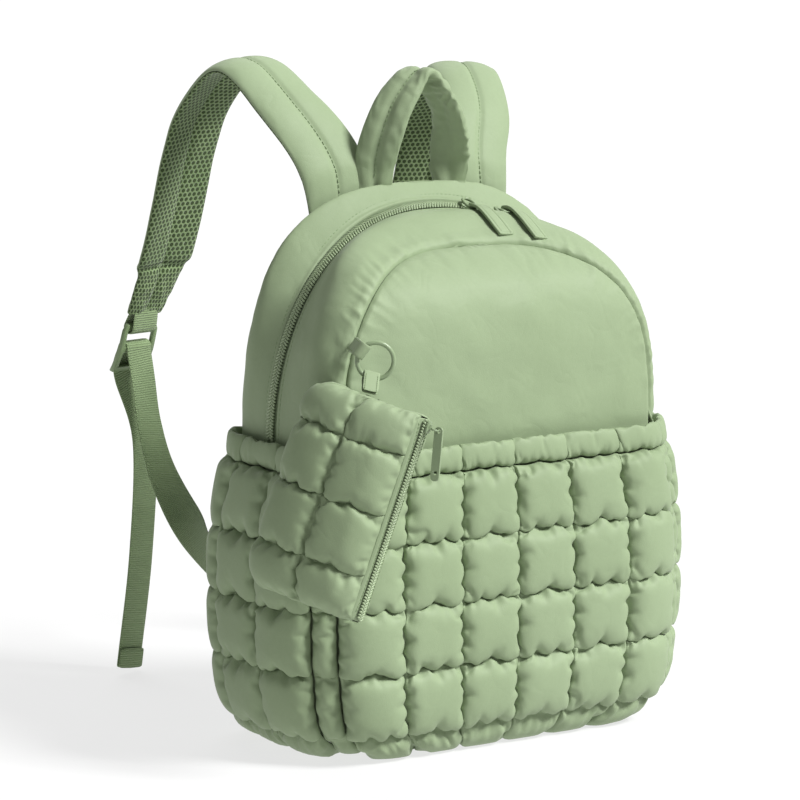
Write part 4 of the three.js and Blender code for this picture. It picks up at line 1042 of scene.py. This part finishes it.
def addStrap(name, side, splay, arch, inward):
    frames, wide = strapFrames(side, splay, arch, inward, 150)

    def wave(across, rise, v, at):
        bunch = ease(v, 0.885, 0.92)
        gather = bunch * 2.4 * (abs(ripple(across / 6, v * 26, side * 3)) - 0.25)
        height = 0.5 * ripple(at.x / 22, at.y / 22, at.z / 22) + gather
        start = math.exp(-v / 0.04) * 1.0 * ripple(across / 5, v * 20, 8)
        height -= 2.4 * math.exp(-(((v - 0.89) / 0.006) ** 2))        # the stitch line across
        root, outer = 1 - ease(v, 0, 0.1), max(side * across / 27, 0)
        edge = frames[round(v * 150)][1] * (0.8 * bunch * ripple(v * 60, across / 9, 5) - root * 0.16 * across)
        edge.z -= root * 9 * outer**2
        return edge + frames[round(v * 150)][2] * ((height + start) * (1 if rise > 0 else -1))

    band("strap_" + name, frames, padSection(1), shellCloth,
         ["shoulder_strap_" + name], wave=wave)
    band("strap_lining_" + name, frames, padSection(-1), meshCloth, wave=wave)
    seam = [(point + out * (strap["rise"] - strap["groove"] + 0.3), out) for point, w, out, f in frames[3:-4]]
    settle(copies("strap_stitches_" + name, stitch, stitchPlaces(seam, 3.6)), thread)
    middle = frames[133]
    cross = [(middle[0] + middle[1] * a - middle[2] * (strap["lining"] - 1.2), -middle[2]) for a in (-20, 20)]
    settle(copies("strap_cross_stitches_" + name, smallStitch, stitchPlaces(cross, 2.6)), thread)

    # Buckle and the loop that holds it
    plate = belt["plate"]
    slotHeight = (plate["height"] - 3 * plate["bar"]) / 2
    radius = math.hypot(plate["bar"], plate["thick"]) / 2 + belt["gap"] + belt["thick"] / 2
    up = Vector((-side * belt["lean"][0], -belt["lean"][1], 1)).normalized()
    across = (wide - up * wide.dot(up)).normalized()
    out = across.cross(up).normalized()
    loopLength = radius + belt["loop"]
    bar = frames[-1][0] - up * (1.0 + loopLength)
    top = bar + up * (plate["bar"] / 2)
    ladderLock("buckle_" + name, Matrix.Translation(top) @ Matrix((across, up, across.cross(up))).transposed().to_4x4(),
               slotHeight, ["ladder_lock_" + name])
    arc, inside = turnRound(bar, up, out, radius), frames[-1][0] + up * 6
    legs = [[inside + out * face, inside.lerp(end, 0.5) + out * (0.7 * face)]
            for end, face in ((arc[0], 1.2), (arc[-1], -1.2))]
    loop = [*legs[0], *arc, *reversed(legs[1])]
    ribbonPiece("loop_webbing_" + name, loop, lambda t: across, ["buckle_loop_" + name])

    # Webbing from the corner tab, through the buckle and down to the floor
    anchor = bagPoint(0, ("left" if side < 0 else "right", float(belt["anchorHeight"])))
    tabFoot = anchor + Vector((-side * 2.5, belt["anchorThick"] / 2 + 1.2, 0))
    down = -up
    middleBar = bar + down * (plate["bar"] + slotHeight)
    turn = turnRound(middleBar, down, out, radius)
    climb, fall = turn[0], turn[-1]
    span = Vector((side * 0.22, 0.9, 0.3)).normalized()
    tip = tabFoot + span * belt["anchorReach"]
    rise = routePoints([Vector((mix(tip.x, climb.x, a), mix(tip.y, climb.y, b), mix(tip.z, climb.z, c)))
                        for a, b, c in belt["rise"]], 90)
    past = fall + down * (slotHeight + 2 * plate["bar"])
    past.x = fall.x
    tail = [Vector((fall.x - side * belt["bow"] * a, past.y, mix(fall.z, belt["floorGap"], b)))
            for a, b in belt["tail"]]
    hanging = routePoints([fall, past, *tail], 90)
    rise = [tip - span * 4, *rise]        # its start is inside the corner tab
    path = [*rise, *turn[1:], *hanging[1:]]
    edgeOn = Vector((side * 0.25, 0.3, 0.9)).normalized()
    share = (len(rise) - 1) / (len(path) - 1)

    def widthAt(t):
        return edgeOn.lerp(across, (t / share) ** 0.7) if t < share else across

    beltFrames = framesAlong(path, widthAt)
    ribbonPiece("webbing_" + name, beltFrames, None, ["adjuster_webbing_" + name])
    above, free = beltFrames[-2], beltFrames[-1]
    upTail = (above[0] - free[0]).normalized()
    stack = (belt["thick"] + belt["gap"]) * (1 if free[2].dot(out) > 0 else -1)
    fold = [(free[0] + free[2] * stack + upTail * (belt["hem"] * i / 6), *free[1:]) for i in range(7)]
    ribbonPiece("webbing_fold_" + name, fold, None, ["webbing_hem_" + name])
    onFold = free[0] + free[2] * stack * 1.45 + upTail * belt["hem"] * 0.82
    seam = [(onFold + free[1] * a, free[2] * math.copysign(1, stack)) for a in (-11, 11)]
    settle(copies("webbing_fold_stitches_" + name, stitch, stitchPlaces(seam, 3)), thread)

    # Triangular tab of the corner seam
    first = beltFrames[0]
    ahead = first[2].cross(first[1]).normalized()
    tip = tip - ahead * (0.4 * math.copysign(1, ahead.dot(span)))
    depth = span.cross(Vector((0, 0, 1))).normalized()
    tipDepth = first[2] * math.copysign(1, first[2].dot(depth))
    section = []
    for i in range(25):
        t = i / 24
        section.append((tabFoot.lerp(tip, t), Vector((0, 0, 1)).lerp(first[1], t).normalized(),
                        depth.lerp(tipDepth, t).normalized(), span))
    half = lambda v: mix(belt["anchorTall"] / 2, belt["width"] / 2 + 1, v)
    outline = []
    for face in (1, -1):
        for i in range(13):
            a = face * mix(-1, 1, i / 12)
            rim, stitched = math.exp(-(((1 - abs(a)) / 0.09) ** 2)), math.exp(-(((0.84 - abs(a)) / 0.03) ** 2))
            rise = face * belt["anchorThick"] / 2 * (1 - 0.75 * rim - 0.35 * stitched)
            outline.append(lambda v, a=a, rise=rise: (a * half(v), rise))
    band("corner_tab_" + name, section, outline, shellCloth, ["webbing_anchor_" + name])


def ribbonPiece(name, frames, widthAt, nodes, width=None, thick=None, look=None):
    if widthAt:
        frames = framesAlong(frames, widthAt)
    width, thick = width or belt["width"], thick or belt["thick"]
    return band(name, frames, flatOutline(width, thick), look or webCloth, nodes)


def ladderLock(name, place, slotHeight, nodes):
    plate = belt["plate"]
    w, h, bar, foot = plate["width"] / 2, plate["height"], plate["bar"], plate["width"] / 2 + 1.5
    slotHalf = belt["width"] / 2 + 0.9
    xs = [-1, -slotHalf / w, slotHalf / w, 1]
    ys = [-h, -h + bar, -h + bar + slotHeight, -bar - slotHeight, -bar, 0]
    deselect()
    bpy.ops.mesh.primitive_grid_add(x_subdivisions=3, y_subdivisions=5, size=1)
    piece = bpy.context.object
    piece.name = piece.data.name = name
    for vertex in piece.data.vertices:
        i, j = round((vertex.co.x + 0.5) * 3), round((vertex.co.y + 0.5) * 5)
        across = xs[i] * mix(foot, w, j / 5) if i in (0, 3) else xs[i] * w
        if i in (0, 3) and j in (0, 5):
            across *= 0.86
        vertex.co = (across, ys[j], 0)
    slots = ((ys[1] + ys[2]) / 2, (ys[3] + ys[4]) / 2)
    chooseFaces(piece, lambda face: abs(face.center.x) < 1 and min(abs(face.center.y - slot) for slot in slots) < 1)
    bpy.ops.mesh.delete(type="FACE")
    bpy.ops.mesh.select_all(action="SELECT")
    bpy.ops.mesh.extrude_region_move(TRANSFORM_OT_translate={"value": (0, 0, plate["thick"])})
    bpy.ops.mesh.select_all(action="SELECT")
    bpy.ops.mesh.normals_make_consistent(inside=False)
    bpy.ops.transform.translate(value=(0, 0, -plate["thick"] / 2))
    bpy.ops.object.mode_set(mode="OBJECT")
    modify(piece, "BEVEL", width=1.3, segments=3, limit_method="ANGLE", angle_limit=math.radians(40))
    for vertex in piece.data.vertices:        # a lifted lip and a gentle bow
        share = -vertex.co.y / h
        vertex.co.z += 1.6 * math.sin(math.pi * share) - 2.4 * ease(share, 0.82, 1)
        vertex.co = place @ vertex.co * mm
    settle(piece, mouldedPlastic, nodes, angle=45)


# Carry handle, a padded band folded over between the straps
handle = {"span": 68, "rise": 73, "width": 31, "thick": 9, "place": 0.14, "lean": 2, "seat": 0.5,
          "turns": [(0, 1.2), (0.2, 0.8), (0.5, 0.5), (0.7, 0.2), (0.86, 0.6), (1, 1.35)], "behind": 6, "sink": 10,
          "outline": [(-0.92, 0), (-0.87, 0.36), (-0.68, 0.68), (-0.34, 0.92), (0.04, 1.07), (0.4, 0.93),
                      (0.76, 0.66), (0.92, 0.32), (0.94, 0)]}


def carryHandle():
    half = handle["span"] / 2
    crest = bagPoint(handle["place"], ("arch", 90.0))
    foot = bagPoint(handle["place"], stationAcross(handle["place"], half)).z + handle["seat"]
    points = routePoints([Vector((a * half, crest.y - handle["lean"] * (1 + rise), foot + handle["rise"] * rise))
                          for a, rise in handle["outline"]], 140)
    def across(t):
        turn = tableValue(handle["turns"], 1, t)
        return Vector((-math.sin(turn), math.cos(turn), 0))

    for i in range(41):        # both feet come out of the back seam
        for index in (i, len(points) - 1 - i):
            back, drop = ease(i, 0, 5) * (1 - ease(i, 8, 40)), 1 - ease(i, 0, 12)
            points[index] = points[index] + Vector((0, handle["behind"] * back, -handle["sink"] * drop))
    frames = framesAlong(points, across)
    outline = []
    for i in range(40):
        turn = tau * i / 40
        cos, sin = math.cos(turn), math.sin(turn)
        a, face = math.copysign(abs(cos) ** 0.75, cos), math.copysign(abs(sin) ** 0.6, sin)

        def at(v, a=a, face=face):
            end = min(v, 1 - v)
            width = mix(0.95, 0.78, math.exp(-(((v - 0.52) / 0.1) ** 2))) * min(0.78 + 2 * end, 1)
            thick = min(0.6 + 4 * end, 1)
            dome = 0.78 + 0.22 * math.sin(math.pi * min(abs(a), 1))
            groove = (1.9 if face < 0 else 1.0) * math.exp(-((a / 0.09) ** 2))
            rise = face * (handle["thick"] / 2 * thick * dome - groove * abs(face))
            return a * handle["width"] / 2 * width, rise
        outline.append(at)

    def wave(across, rise, v, at):
        top = math.exp(-(((v - 0.6) / 0.17) ** 2))
        crush = top * 3.8 * (abs(ripple(v * 24, across / 9, 3)) - 0.22) + 0.7 * ripple(v * 26, across / 14, rise)
        frame = frames[round(v * 140)]
        frill = frame[1] * (1.5 * ease(v, 0.5, 0.7) * ripple(v * 40, 2 + (across > 0)) * clamp(abs(across) / 10 - 0.4))
        return frame[2] * (crush * (1 if rise < 0 else -1)) + frill

    band("handle", frames, outline, shellCloth, ["carry_handle"], wave=wave)
    seam = [(p - out * (handle["thick"] / 2 * 0.78 - 0.75), -out) for p, w, out, f in frames[8:-8]]
    settle(copies("handle_stitches", stitch, stitchPlaces(seam, 3.6)), thread)


# Main zip's sliders, wire bails and cloth pulls
slider = {"across": {"left": 30, "right": 55}, "length": 11, "width": 9, "height": 3.4, "seat": 1.0}
bail = {"halfLength": 7.2, "halfWidth": 4.6, "wire": 1.1, "gap": 0.3}
clothPull = {"width": 13, "thick": 2.2, "lift": (2.85, 2.25), "from": 0.575, "to": 0.95, "margin": 1.9, "press": 0.8}


def sliderPiece(name, length, width, height, seat, along, out, nodes):
    deselect()
    bpy.ops.mesh.primitive_cube_add(size=1)
    piece = bpy.context.object
    piece.name = piece.data.name = name
    piece.data.transform(Matrix.Diagonal((length, width, height * 0.62, 1)) @ Matrix.Translation((0, 0, 0.5)))
    bpy.ops.object.mode_set(mode="EDIT")
    bpy.ops.mesh.subdivide(number_cuts=5)
    bpy.ops.object.mode_set(mode="OBJECT")
    for vertex in piece.data.vertices:        # a waist, and a body rounded in plan
        x, y = vertex.co.x / length * 2, vertex.co.y / width * 2
        vertex.co.y *= 1 - 0.28 * x * x - (0.06 if x < 0 else 0)
        vertex.co.x *= 1 - 0.12 * y * y
    # bridge that the wire runs under
    chooseFaces(piece, lambda face: face.normal.z > 0.9 and abs(face.center.y) < width * 0.2
                and abs(face.center.x) < length * 0.4)
    bpy.ops.mesh.extrude_region_move(TRANSFORM_OT_translate={"value": (0, 0, height * 0.38)})
    bpy.ops.transform.resize(value=(0.86, 0.8, 1))
    bpy.ops.object.mode_set(mode="OBJECT")
    modify(piece, "BEVEL", width=0.4, segments=2, limit_method="ANGLE", angle_limit=math.radians(50))
    piece.data.transform(Matrix.Scale(mm, 4) @ axes(seat, along, out))
    return settle(piece, paintedMetal, nodes, levels=1, angle=50)


def wireLoop(name, halfLength, halfWidth, wire, place, nodes, split=0.0):
    deselect()
    bpy.ops.mesh.primitive_torus_add(major_radius=1, minor_radius=0.5, major_segments=64, minor_segments=16)
    piece = bpy.context.object
    piece.name = piece.data.name = name
    for vertex in piece.data.vertices:
        turn = math.atan2(vertex.co.y, vertex.co.x)
        radial, high = (math.hypot(vertex.co.x, vertex.co.y) - 1) * 2 * wire, vertex.co.z * 2 * wire
        if abs(high) < wire * 0.2:
            radial *= 1 - split
        point = Vector((math.cos(turn) * (halfLength + radial), math.sin(turn) * (halfWidth + radial), high))
        vertex.co = place @ point * mm
    return settle(piece, paintedMetal, nodes, angle=60)


def addSliders():
    for name, across in slider["across"].items():
        station = stationAcross(bag["zip"], across)
        out = bagNormal(bag["zip"], station)
        along = bagPoint(bag["zip"], stationAcross(bag["zip"], across + 3)) - bagPoint(bag["zip"], station)
        along = (along - out * along.dot(out)).normalized()
        seat = bagPoint(bag["zip"], station) + out * slider["seat"]
        sliderPiece("slider_" + name, slider["length"], slider["width"], slider["height"], seat, along, out,
                    ["zip_slider_" + name])
        forwards = out.cross(along).normalized()
        forwards = forwards if forwards.y < 0 else -forwards
        middle = seat + out * (slider["height"] + bail["wire"] + bail["gap"]) + forwards * (bail["halfLength"] * 0.55)
        wireLoop("bail_" + name, bail["halfLength"], bail["halfWidth"], bail["wire"], axes(middle, forwards, out),
                 ["pull_bail_" + name])

        points = []
        for i in range(7):
            place = mix(clothPull["from"], clothPull["to"], i / 6)
            at = stationAcross(place, across + i * 0.3)
            points.append(bagPoint(place, at) + bagNormal(place, at) * clothPull["lift"][1 if i else 0])
        frames = framesAlong(routePoints(points, 56), lambda t: along)
        length = sum((b[0] - a[0]).length for a, b in zip(frames, frames[1:]))
        half = clothPull["width"] / 2
        halfMarks = (0.3, 0.54, 0.6, 0.66, 0.8, 0.93, 1)
        marks = [a * half for a in (*(-mark for mark in reversed(halfMarks)), 0, *halfMarks)]
        outline = []
        for face in (1, -1):
            for a in (marks if face > 0 else marks[::-1]):
                def at(v, a=a, face=face):
                    ends = min(v, 1 - v) * length
                    seam = abs(abs(a) - half * 0.6) < 0.1 or abs(ends - clothPull["margin"]) < 0.5
                    inside = abs(a) < half * 0.66 and ends > clothPull["margin"] - 0.5
                    rim = 0.72 if abs(a) > half * 0.96 or ends < 0.3 else 1
                    high = clothPull["thick"] / 2 * rim - clothPull["press"] * (seam and inside or 0)
                    return a * (1 - 0.06 * (ends < 0.4)), face * high
                outline.append(at)
        band("pull_" + name, frames, outline, shellCloth, ["zip_pull_" + name])
        for side in (1, -1):
            seam = [(point + wide * (side * half * 0.6) + facing * (clothPull["thick"] / 2 - 0.35), facing)
                    for point, wide, facing, forward in frames[2:-2]]
            seam = [(point, facing if facing.dot(out) > 0 else -facing) for point, facing in seam]
            settle(copies("pull_stitches_%s_%s" % (name, "ab"[side > 0]), smallStitch, stitchPlaces(seam, 2.3)),
                   thread)


# Pouch: its own axes are across its face, down its length and out of its face
pouch = {
    "width": 86, "height": 144, "fill": 13, "wall": 2.2, "turn": -58, "lean": 12, "tilt": 15, "bend": 6,
    "middle": (-155, -103, 192), "corner": 22, "columns": (0, 0.5, 1), "rows": (0, 0.2, 0.49, 0.78, 1),
    "columnSteps": 22, "rowSteps": (15, 20, 20, 16), "start": 3.4, "seam": -1.6, "reach": 7.0, "pressure": 6.0,
    "grow": 0.18, "lap": 2.0, "scallop": 2.0, "gather": 2.4, "inset": 6, "bulge": 2, "tape": 1.4, "chainRise": 1.2,
    "slider": (9, 7, 2.4), "zipHalf": 5.4, "sliderPlace": 0.042, "crown": (2.6, 3.4, 0.7), "pitch": 2.0,
}
turned, tilt = math.radians(pouch["turn"]), math.radians(pouch["tilt"])
pouchLevel = Vector((math.cos(turned), math.sin(turned), 0))
pouchFacing = Vector((math.sin(turned), -math.cos(turned), math.tan(math.radians(pouch["lean"])))).normalized()
pouchUp = pouchFacing.cross(pouchLevel)
pouchAcross = pouchLevel * math.cos(tilt) - pouchUp * math.sin(tilt)
pouchDown = -pouchLevel * math.sin(tilt) - pouchUp * math.cos(tilt)


def pouchPoint(across, down, out):
    bent = out - pouch["bend"] * (across / (pouch["width"] / 2)) ** 2
    return Vector(pouch["middle"]) + pouchAcross * across + pouchDown * down + pouchFacing * bent


def pouchDome(down):
    return pouch["fill"] * max(1 - abs(2 * down - 1) ** 3, 0) ** 0.55


def pouchFace(name, face, nodes):
    columns, columnSeams = stationsOf(pouch["columns"], pouch["columnSteps"])
    rows, rowsAt = stationsOf(pouch["rows"], list(pouch["rowSteps"]))
    across, up = len(columns) - 1, len(rows) - 1
    edge, tall, radius = pouch["width"] / 2, pouch["height"], pouch["corner"]
    base = {}

    def place(u, v):
        i, j = round(u * across), round(v * up)
        c, r = columns[i], rows[j]
        wave = c * 2 % 1
        line = min(pouch["rows"][1:-1], key=lambda seam: abs(seam - r))
        near = clamp(1 - abs(line - r) / 0.12) ** 2
        r += near * scallopWave(wave, round(line * 50) + int(c * 2), 2, pouch["scallop"]) / tall
        if 0.3 < c < 0.7:
            c += clamp(1 - abs(c - 0.5) / 0.2) ** 2 * 0.016 * scallopWave(r * 7 % 1, 3, 2, 1.2)
        y = (r - 0.5) * tall
        corner = max(abs(y) - tall / 2 + radius, 0)
        left = radius - math.sqrt(max(radius**2 - corner**2, 0)) - edge
        right = edge + 1.2 - (pouch["inset"] / 2 if face > 0 else 0)
        full = pouchDome(r) * (1 - max(1 - 2 * c, 0) ** 2.4) ** 0.7
        full = mix(full, min(full, pouch["zipHalf"]), ease(c, 0.78, 1))
        rim = i in (0, across) or j in (0, up)
        if rim:
            out = 0.2
        elif i in columnSeams or j in rowsAt:
            out = max(pouch["seam"] * (0.7 + 0.5 * ripple(c * 11, r * 13, face)), -full)
        else:
            out = pouch["start"] * (0.7 + 0.3 * ripple(c * 17, r * 19, face))
        at = mix(left, right, c)
        base[i, j] = pouchPoint(at, y, face * full)
        return pouchPoint(at, y, face * (full + out))

    piece, shares = layGrid(name, across, up, place, (0.09, 0.15), facing=pouchPoint(0, 0, -40 * face))
    keys = [(round(u * across), round(v * up)) for u, v in shares]
    sewn = [index for index, (i, j) in enumerate(keys) if i in columnSeams or j in rowsAt]
    inflate(piece, sewn, pouch["pressure"], pouch["grow"], quilt["frames"])
    seams = pouch["rows"]
    for vertex, (i, j) in zip(piece.data.vertices, keys):
        out = (vertex.co / mm - base[i, j]).dot(pouchFacing) * face
        full = pouch["reach"] * math.tanh(out / pouch["reach"] * 1.15) if out > 0 else out
        nearest = min(seams, key=lambda seam: abs(seam - rows[j]))
        valley = 1 - clamp(abs(ripple(columns[i] * 15, nearest * 31, face)) * 4.5)
        beside = min(abs(seam - rows[j]) for seam in seams) * tall
        full -= pouch["gather"] * valley * math.exp(-(((beside - 2.5) / 4) ** 2)) * clamp(full / 4)
        below = min(seam for seam in seams if seam >= rows[j])
        away = (below - rows[j]) * tall
        lap = pouch["lap"] * clamp(full / pouch["reach"]) * math.exp(-((away / 10) ** 2)) if below < 1 else 0
        vertex.co += (pouchFacing * (face * (full - out)) + pouchDown * lap) * mm
    return settle(piece, quiltCloth, nodes, wall=0.8, levels=1)


def pouchZipPoint(down, across, lift):
    depth = pouchDome(down) + pouch["wall"]
    bulge = pouch["bulge"] * (1 - across * across)
    edge = pouch["width"] / 2 - pouch["inset"] * (1 + across) / 2
    return pouchPoint(edge + 0.6 + bulge + lift, (down - 0.5) * pouch["height"], across * depth)


def pouchZipSide():
    def place(u, v):
        down = mix(0.008, 0.992, v)
        depth = pouchDome(down) + pouch["wall"]
        half = min(pouch["zipHalf"] + 0.8, depth)
        side = (2 * u - 1) * half
        away = abs(side)
        lift = 1.5 + 0.3 * math.exp(-(((away - 4.6) / 0.7) ** 2)) - 0.3 * math.exp(-(((away - 3.7) / 0.4) ** 2))
        lift -= 1.5 * math.exp(-(((half - away) / 0.6) ** 2))
        return pouchZipPoint(down, side / depth, lift)

    piece, shares = layGrid("pouch_gusset", 32, 130, place, (0.013, 0.144), facing=pouchPoint(0, 0, 0))
    settle(piece, shellCloth, ["pouch_zip"], wall=1.0, levels=1)
    line = [(pouchZipPoint(mix(0.02, 0.98, i / 120), 0, 2.5), pouchAcross) for i in range(121)]
    settle(copies("pouch_coil", smallTooth, teeth(line, pouch["pitch"], 3.6)), coilPlastic, angle=50)
    for side in (-1, 1):
        seam = []
        for i in range(101):
            down = mix(0.04, 0.96, i / 100)
            seam.append((pouchZipPoint(down, side * 4.4 / (pouchDome(down) + pouch["wall"]), 2.1), pouchAcross))
        settle(copies("pouch_zip_stitches_" + "ab"[side > 0], smallStitch, stitchPlaces(seam, 2.6)),
               thread)


def addPouch():
    pouchFace("pouch_quilting_front", 1, ["pouch_front"])
    pouchFace("pouch_quilting_back", -1, ["pouch_back"])
    pouchZipSide()
    zipFace = pouch["tape"] + pouch["chainRise"] + 1.2
    seat = pouchZipPoint(pouch["sliderPlace"], 0, zipFace)
    length, width, height = pouch["slider"]
    sliderPiece("small_slider", length, width, height, seat, pouchDown, pouchAcross, ["pouch_slider"])
    reach, halfWidth, wire = pouch["crown"]
    crownMiddle = seat + pouchAcross * (height + 0.4 + reach + wire)
    wireLoop("small_crown", reach, halfWidth, wire, axes(crownMiddle, pouchAcross, pouchDown), ["pouch_crown"])
    metalPull(crownMiddle + pouchAcross * reach)


metalTab = {"length": 36, "width": 6.4, "thick": 1.6, "eye": 1.5, "hole": 1.4, "rim": 1.5, "holeRim": 2.5,
            "round": 0.35}


def metalPull(pivot):
    tab, top = metalTab, metalTab["eye"] + metalTab["rim"]
    half = tab["width"] / 2
    lowMiddle = top - tab["length"] + half
    outline = []
    for middle, start in ((top - half, 0), (lowMiddle, math.pi)):
        turns = [start + math.pi * i / 16 for i in range(17)]
        outline += [(half * math.cos(turn), middle + half * math.sin(turn)) for turn in turns]
    outline = [(x * (1 - 0.18 * math.exp(-(((y + 9) / 7) ** 2))), y) for x, y in outline]
    rings = [outline]
    for radius, drop in ((tab["eye"], 0), (tab["hole"], tab["length"] - top - half - tab["holeRim"])):
        rings.append([(radius * math.cos(tau * i / 24), -drop + radius * math.sin(tau * i / 24)) for i in range(24)])
    curve = bpy.data.curves.new("metal_pull", "CURVE")
    curve.dimensions, curve.fill_mode = "2D", "BOTH"
    curve.extrude, curve.bevel_depth, curve.bevel_resolution = tab["thick"] / 2 - tab["round"], tab["round"], 3
    curve.offset = -tab["round"]
    for ring in rings:
        spline = curve.splines.new("POLY")
        spline.points.add(len(ring) - 1)
        for point, (x, y) in zip(spline.points, ring):
            point.co = (x, y, 0, 1)
        spline.use_cyclic_u = True
    piece = bpy.data.objects.new("metal_pull", curve)
    bpy.context.collection.objects.link(piece)
    pick(piece)
    bpy.ops.object.convert(target="MESH")
    piece = bpy.context.object
    basis = Matrix((pouchLevel, pouchUp, pouchFacing)).transposed().to_4x4()
    piece.data.transform(Matrix.Scale(mm, 4) @ Matrix.Translation(pivot) @ basis)
    settle(piece, paintedMetal, ["pouch_pull"], body="pull", angle=40)


# Split ring between the front seam's tab and the pouch's
ring = {"radius": 12.2, "wire": 1.6, "middle": (-119, -101, 280.5), "turn": -30, "seamHeight": 288,
        "seamPlace": 0.985, "tabWidth": 11, "tabThick": 1.2, "seat": 1.2, "pouchTab": 2, "gap": 0.5}


def ringTab(name, level, rise, hold, nodes):
    facing = Vector((math.sin(math.radians(ring["turn"])), -math.cos(math.radians(ring["turn"])), 0))
    ringLevel = Vector((math.cos(math.radians(ring["turn"])), math.sin(math.radians(ring["turn"])), 0))
    bow = ring["radius"] - math.sqrt(ring["radius"] ** 2 - (ring["tabWidth"] / 2) ** 2)
    radius = ring["wire"] + ring["gap"] + ring["tabThick"] / 2 + bow * 0.7
    away = (ringLevel * level + Vector((0, 0, rise))).normalized()
    wire = Vector(ring["middle"]) + away * (ring["radius"] - bow / 2)
    pull = (hold - wire).normalized()
    wide = facing.cross(away)
    side = wide.cross(pull).normalized()
    spread = ring["tabThick"] / 2 + ring["gap"] / 2
    arc = turnRound(wire, pull, side, radius)
    legs = [[end.lerp(hold + side * (sign * spread), i / 6) for i in range(1, 7)]
            for end, sign in ((arc[0], 1), (arc[-1], -1))]
    path = [*reversed(legs[0]), *arc, *legs[1]]
    ribbonPiece(name, path, lambda t: wide, nodes, width=ring["tabWidth"], thick=ring["tabThick"], look=shellCloth)
    outer = side if side.dot(Vector((-0.5, -0.85, 0.1))) > 0 else -side
    leg = legs[0] if outer == side else legs[1]
    for across in (-1, 1):
        inset = wide * (across * ring["tabWidth"] * 0.36) + outer * (ring["tabThick"] / 2 + 0.12)
        seam = [(point + inset, outer) for point in leg]
        settle(copies(name + "_stitches_" + "ab"[across > 0], smallStitch, stitchPlaces(seam, 2.2)),
               thread)


def addRing():
    turn = math.radians(ring["turn"])
    level, facing = Vector((math.cos(turn), math.sin(turn), 0)), Vector((math.sin(turn), -math.cos(turn), 0))
    wireLoop("ring", ring["radius"], ring["radius"], ring["wire"], axes(Vector(ring["middle"]), level, facing),
             ["split_ring"], split=0.3)
    top, depth, roundness, lean = archSizes(1)
    lift = ((ring["seamHeight"] - pocket["height"]) / (bag["rise"] * top)) ** (roundness / 2)
    station = ("arch", 180 - math.degrees(math.asin(lift)))
    hold = bagPoint(ring["seamPlace"], station) + bagNormal(ring["seamPlace"], station) * ring["seat"]
    ringTab("seam_tab", -0.8, 0.6, hold, ["ring_tab"])
    pouchTop = pouchPoint(ring["pouchTab"], -pouch["height"] / 2 - 2 * ring["seat"], 0)
    ringTab("pouch_loop", -0.26, -0.97, pouchTop, ["pouch_tab"])


# Base panel inside the tucked quilting
def basePanel():
    outline = [pocketPoint(column / 4, 0, 0) for column in range(4 * allColumns + 1)]
    outline = [Vector((p.x - math.copysign(0.9, p.x), p.y - math.copysign(0.9, p.y), 0)) for p in outline]
    rings = [(0.03, 0), (0.5, 0), (0.93, 0), (0.985, 0.1), (1, 0.5), (1, 2.5), (0.985, 2.9), (0.93, 3), (0.5, 3),
             (0.03, 3)]

    def place(u, v):
        rim = outline[round(u * (len(outline) - 1))]
        share, height = rings[round(v * (len(rings) - 1))]
        point = Vector((0, -12, 0)).lerp(rim, share)
        return Vector((point.x, point.y, height))

    piece, shares = layGrid("base_cloth", len(outline) - 1, len(rings) - 1, place, (0.9, 0.2), closed=True)
    settle(piece, shellCloth, ["base_panel"])


print("stage")
addFloor()
addLights()
bpy.context.scene.view_settings.view_transform = "Standard"
tooth = taperedBar("tooth", 8, 4.7, 1.75, 1.7, 0.35)
smallTooth = taperedBar("small_tooth", 8, 4.2, 1.6, 1.8, 0.35)
stitch = taperedBar("stitch", 6, 2.6, 0.7, 0.6, 0.25)
smallStitch = taperedBar("small_stitch", 6, 1.8, 0.5, 0.45, 0.2)

print("quilting")
cell = quilt["cellSteps"][0]
mirrorEdge = allColumns - frontEdge
quiltPanel("quilting_front", frontEdge, mirrorEdge, cell, ["quilted_front"])
quiltPanel("quilting_left", 0, pocket["sideColumns"], cell, ["quilted_side_left"])
quiltPanel("quilting_right", allColumns - pocket["sideColumns"], allColumns, cell, ["quilted_side_right"])
channelSeams = [*rowSeams, pocket["height"]]
for name, first in (("left", pocket["sideColumns"]), ("right", mirrorEdge)):
    quiltPanel("channel_" + name, first, first + 1, quilt["channelSteps"], ["corner_channel_" + name],
               channelSeams)
hemPanel("hem_front", frontEdge, mirrorEdge, ["gathered_hem_front"])
hemPanel("hem_left", 0, pocket["sideColumns"], ["gathered_hem_side_left"])
hemPanel("hem_right", allColumns - pocket["sideColumns"], allColumns, ["gathered_hem_side_right"])
basePanel()

print("smooth bag")
gusset("gusset_rear", lambda s: (0, zipEdge(s, -1)), ("back", "zip"), 34, shellCloth, ["rear_gusset"])
gusset("gusset_front", lambda s: (zipEdge(s, 1), 1 - placeWidth(0.97, s, 0.2)), ("zip", "front"), 36, shellCloth,
       ["front_gusset"])
frontPanel()
backPanel()

print("zip")
addMainZip()
addSliders()

print("straps and handle")
for each in strap["sides"]:
    addStrap(**each)
carryHandle()

print("pouch")
addPouch()
addRing()
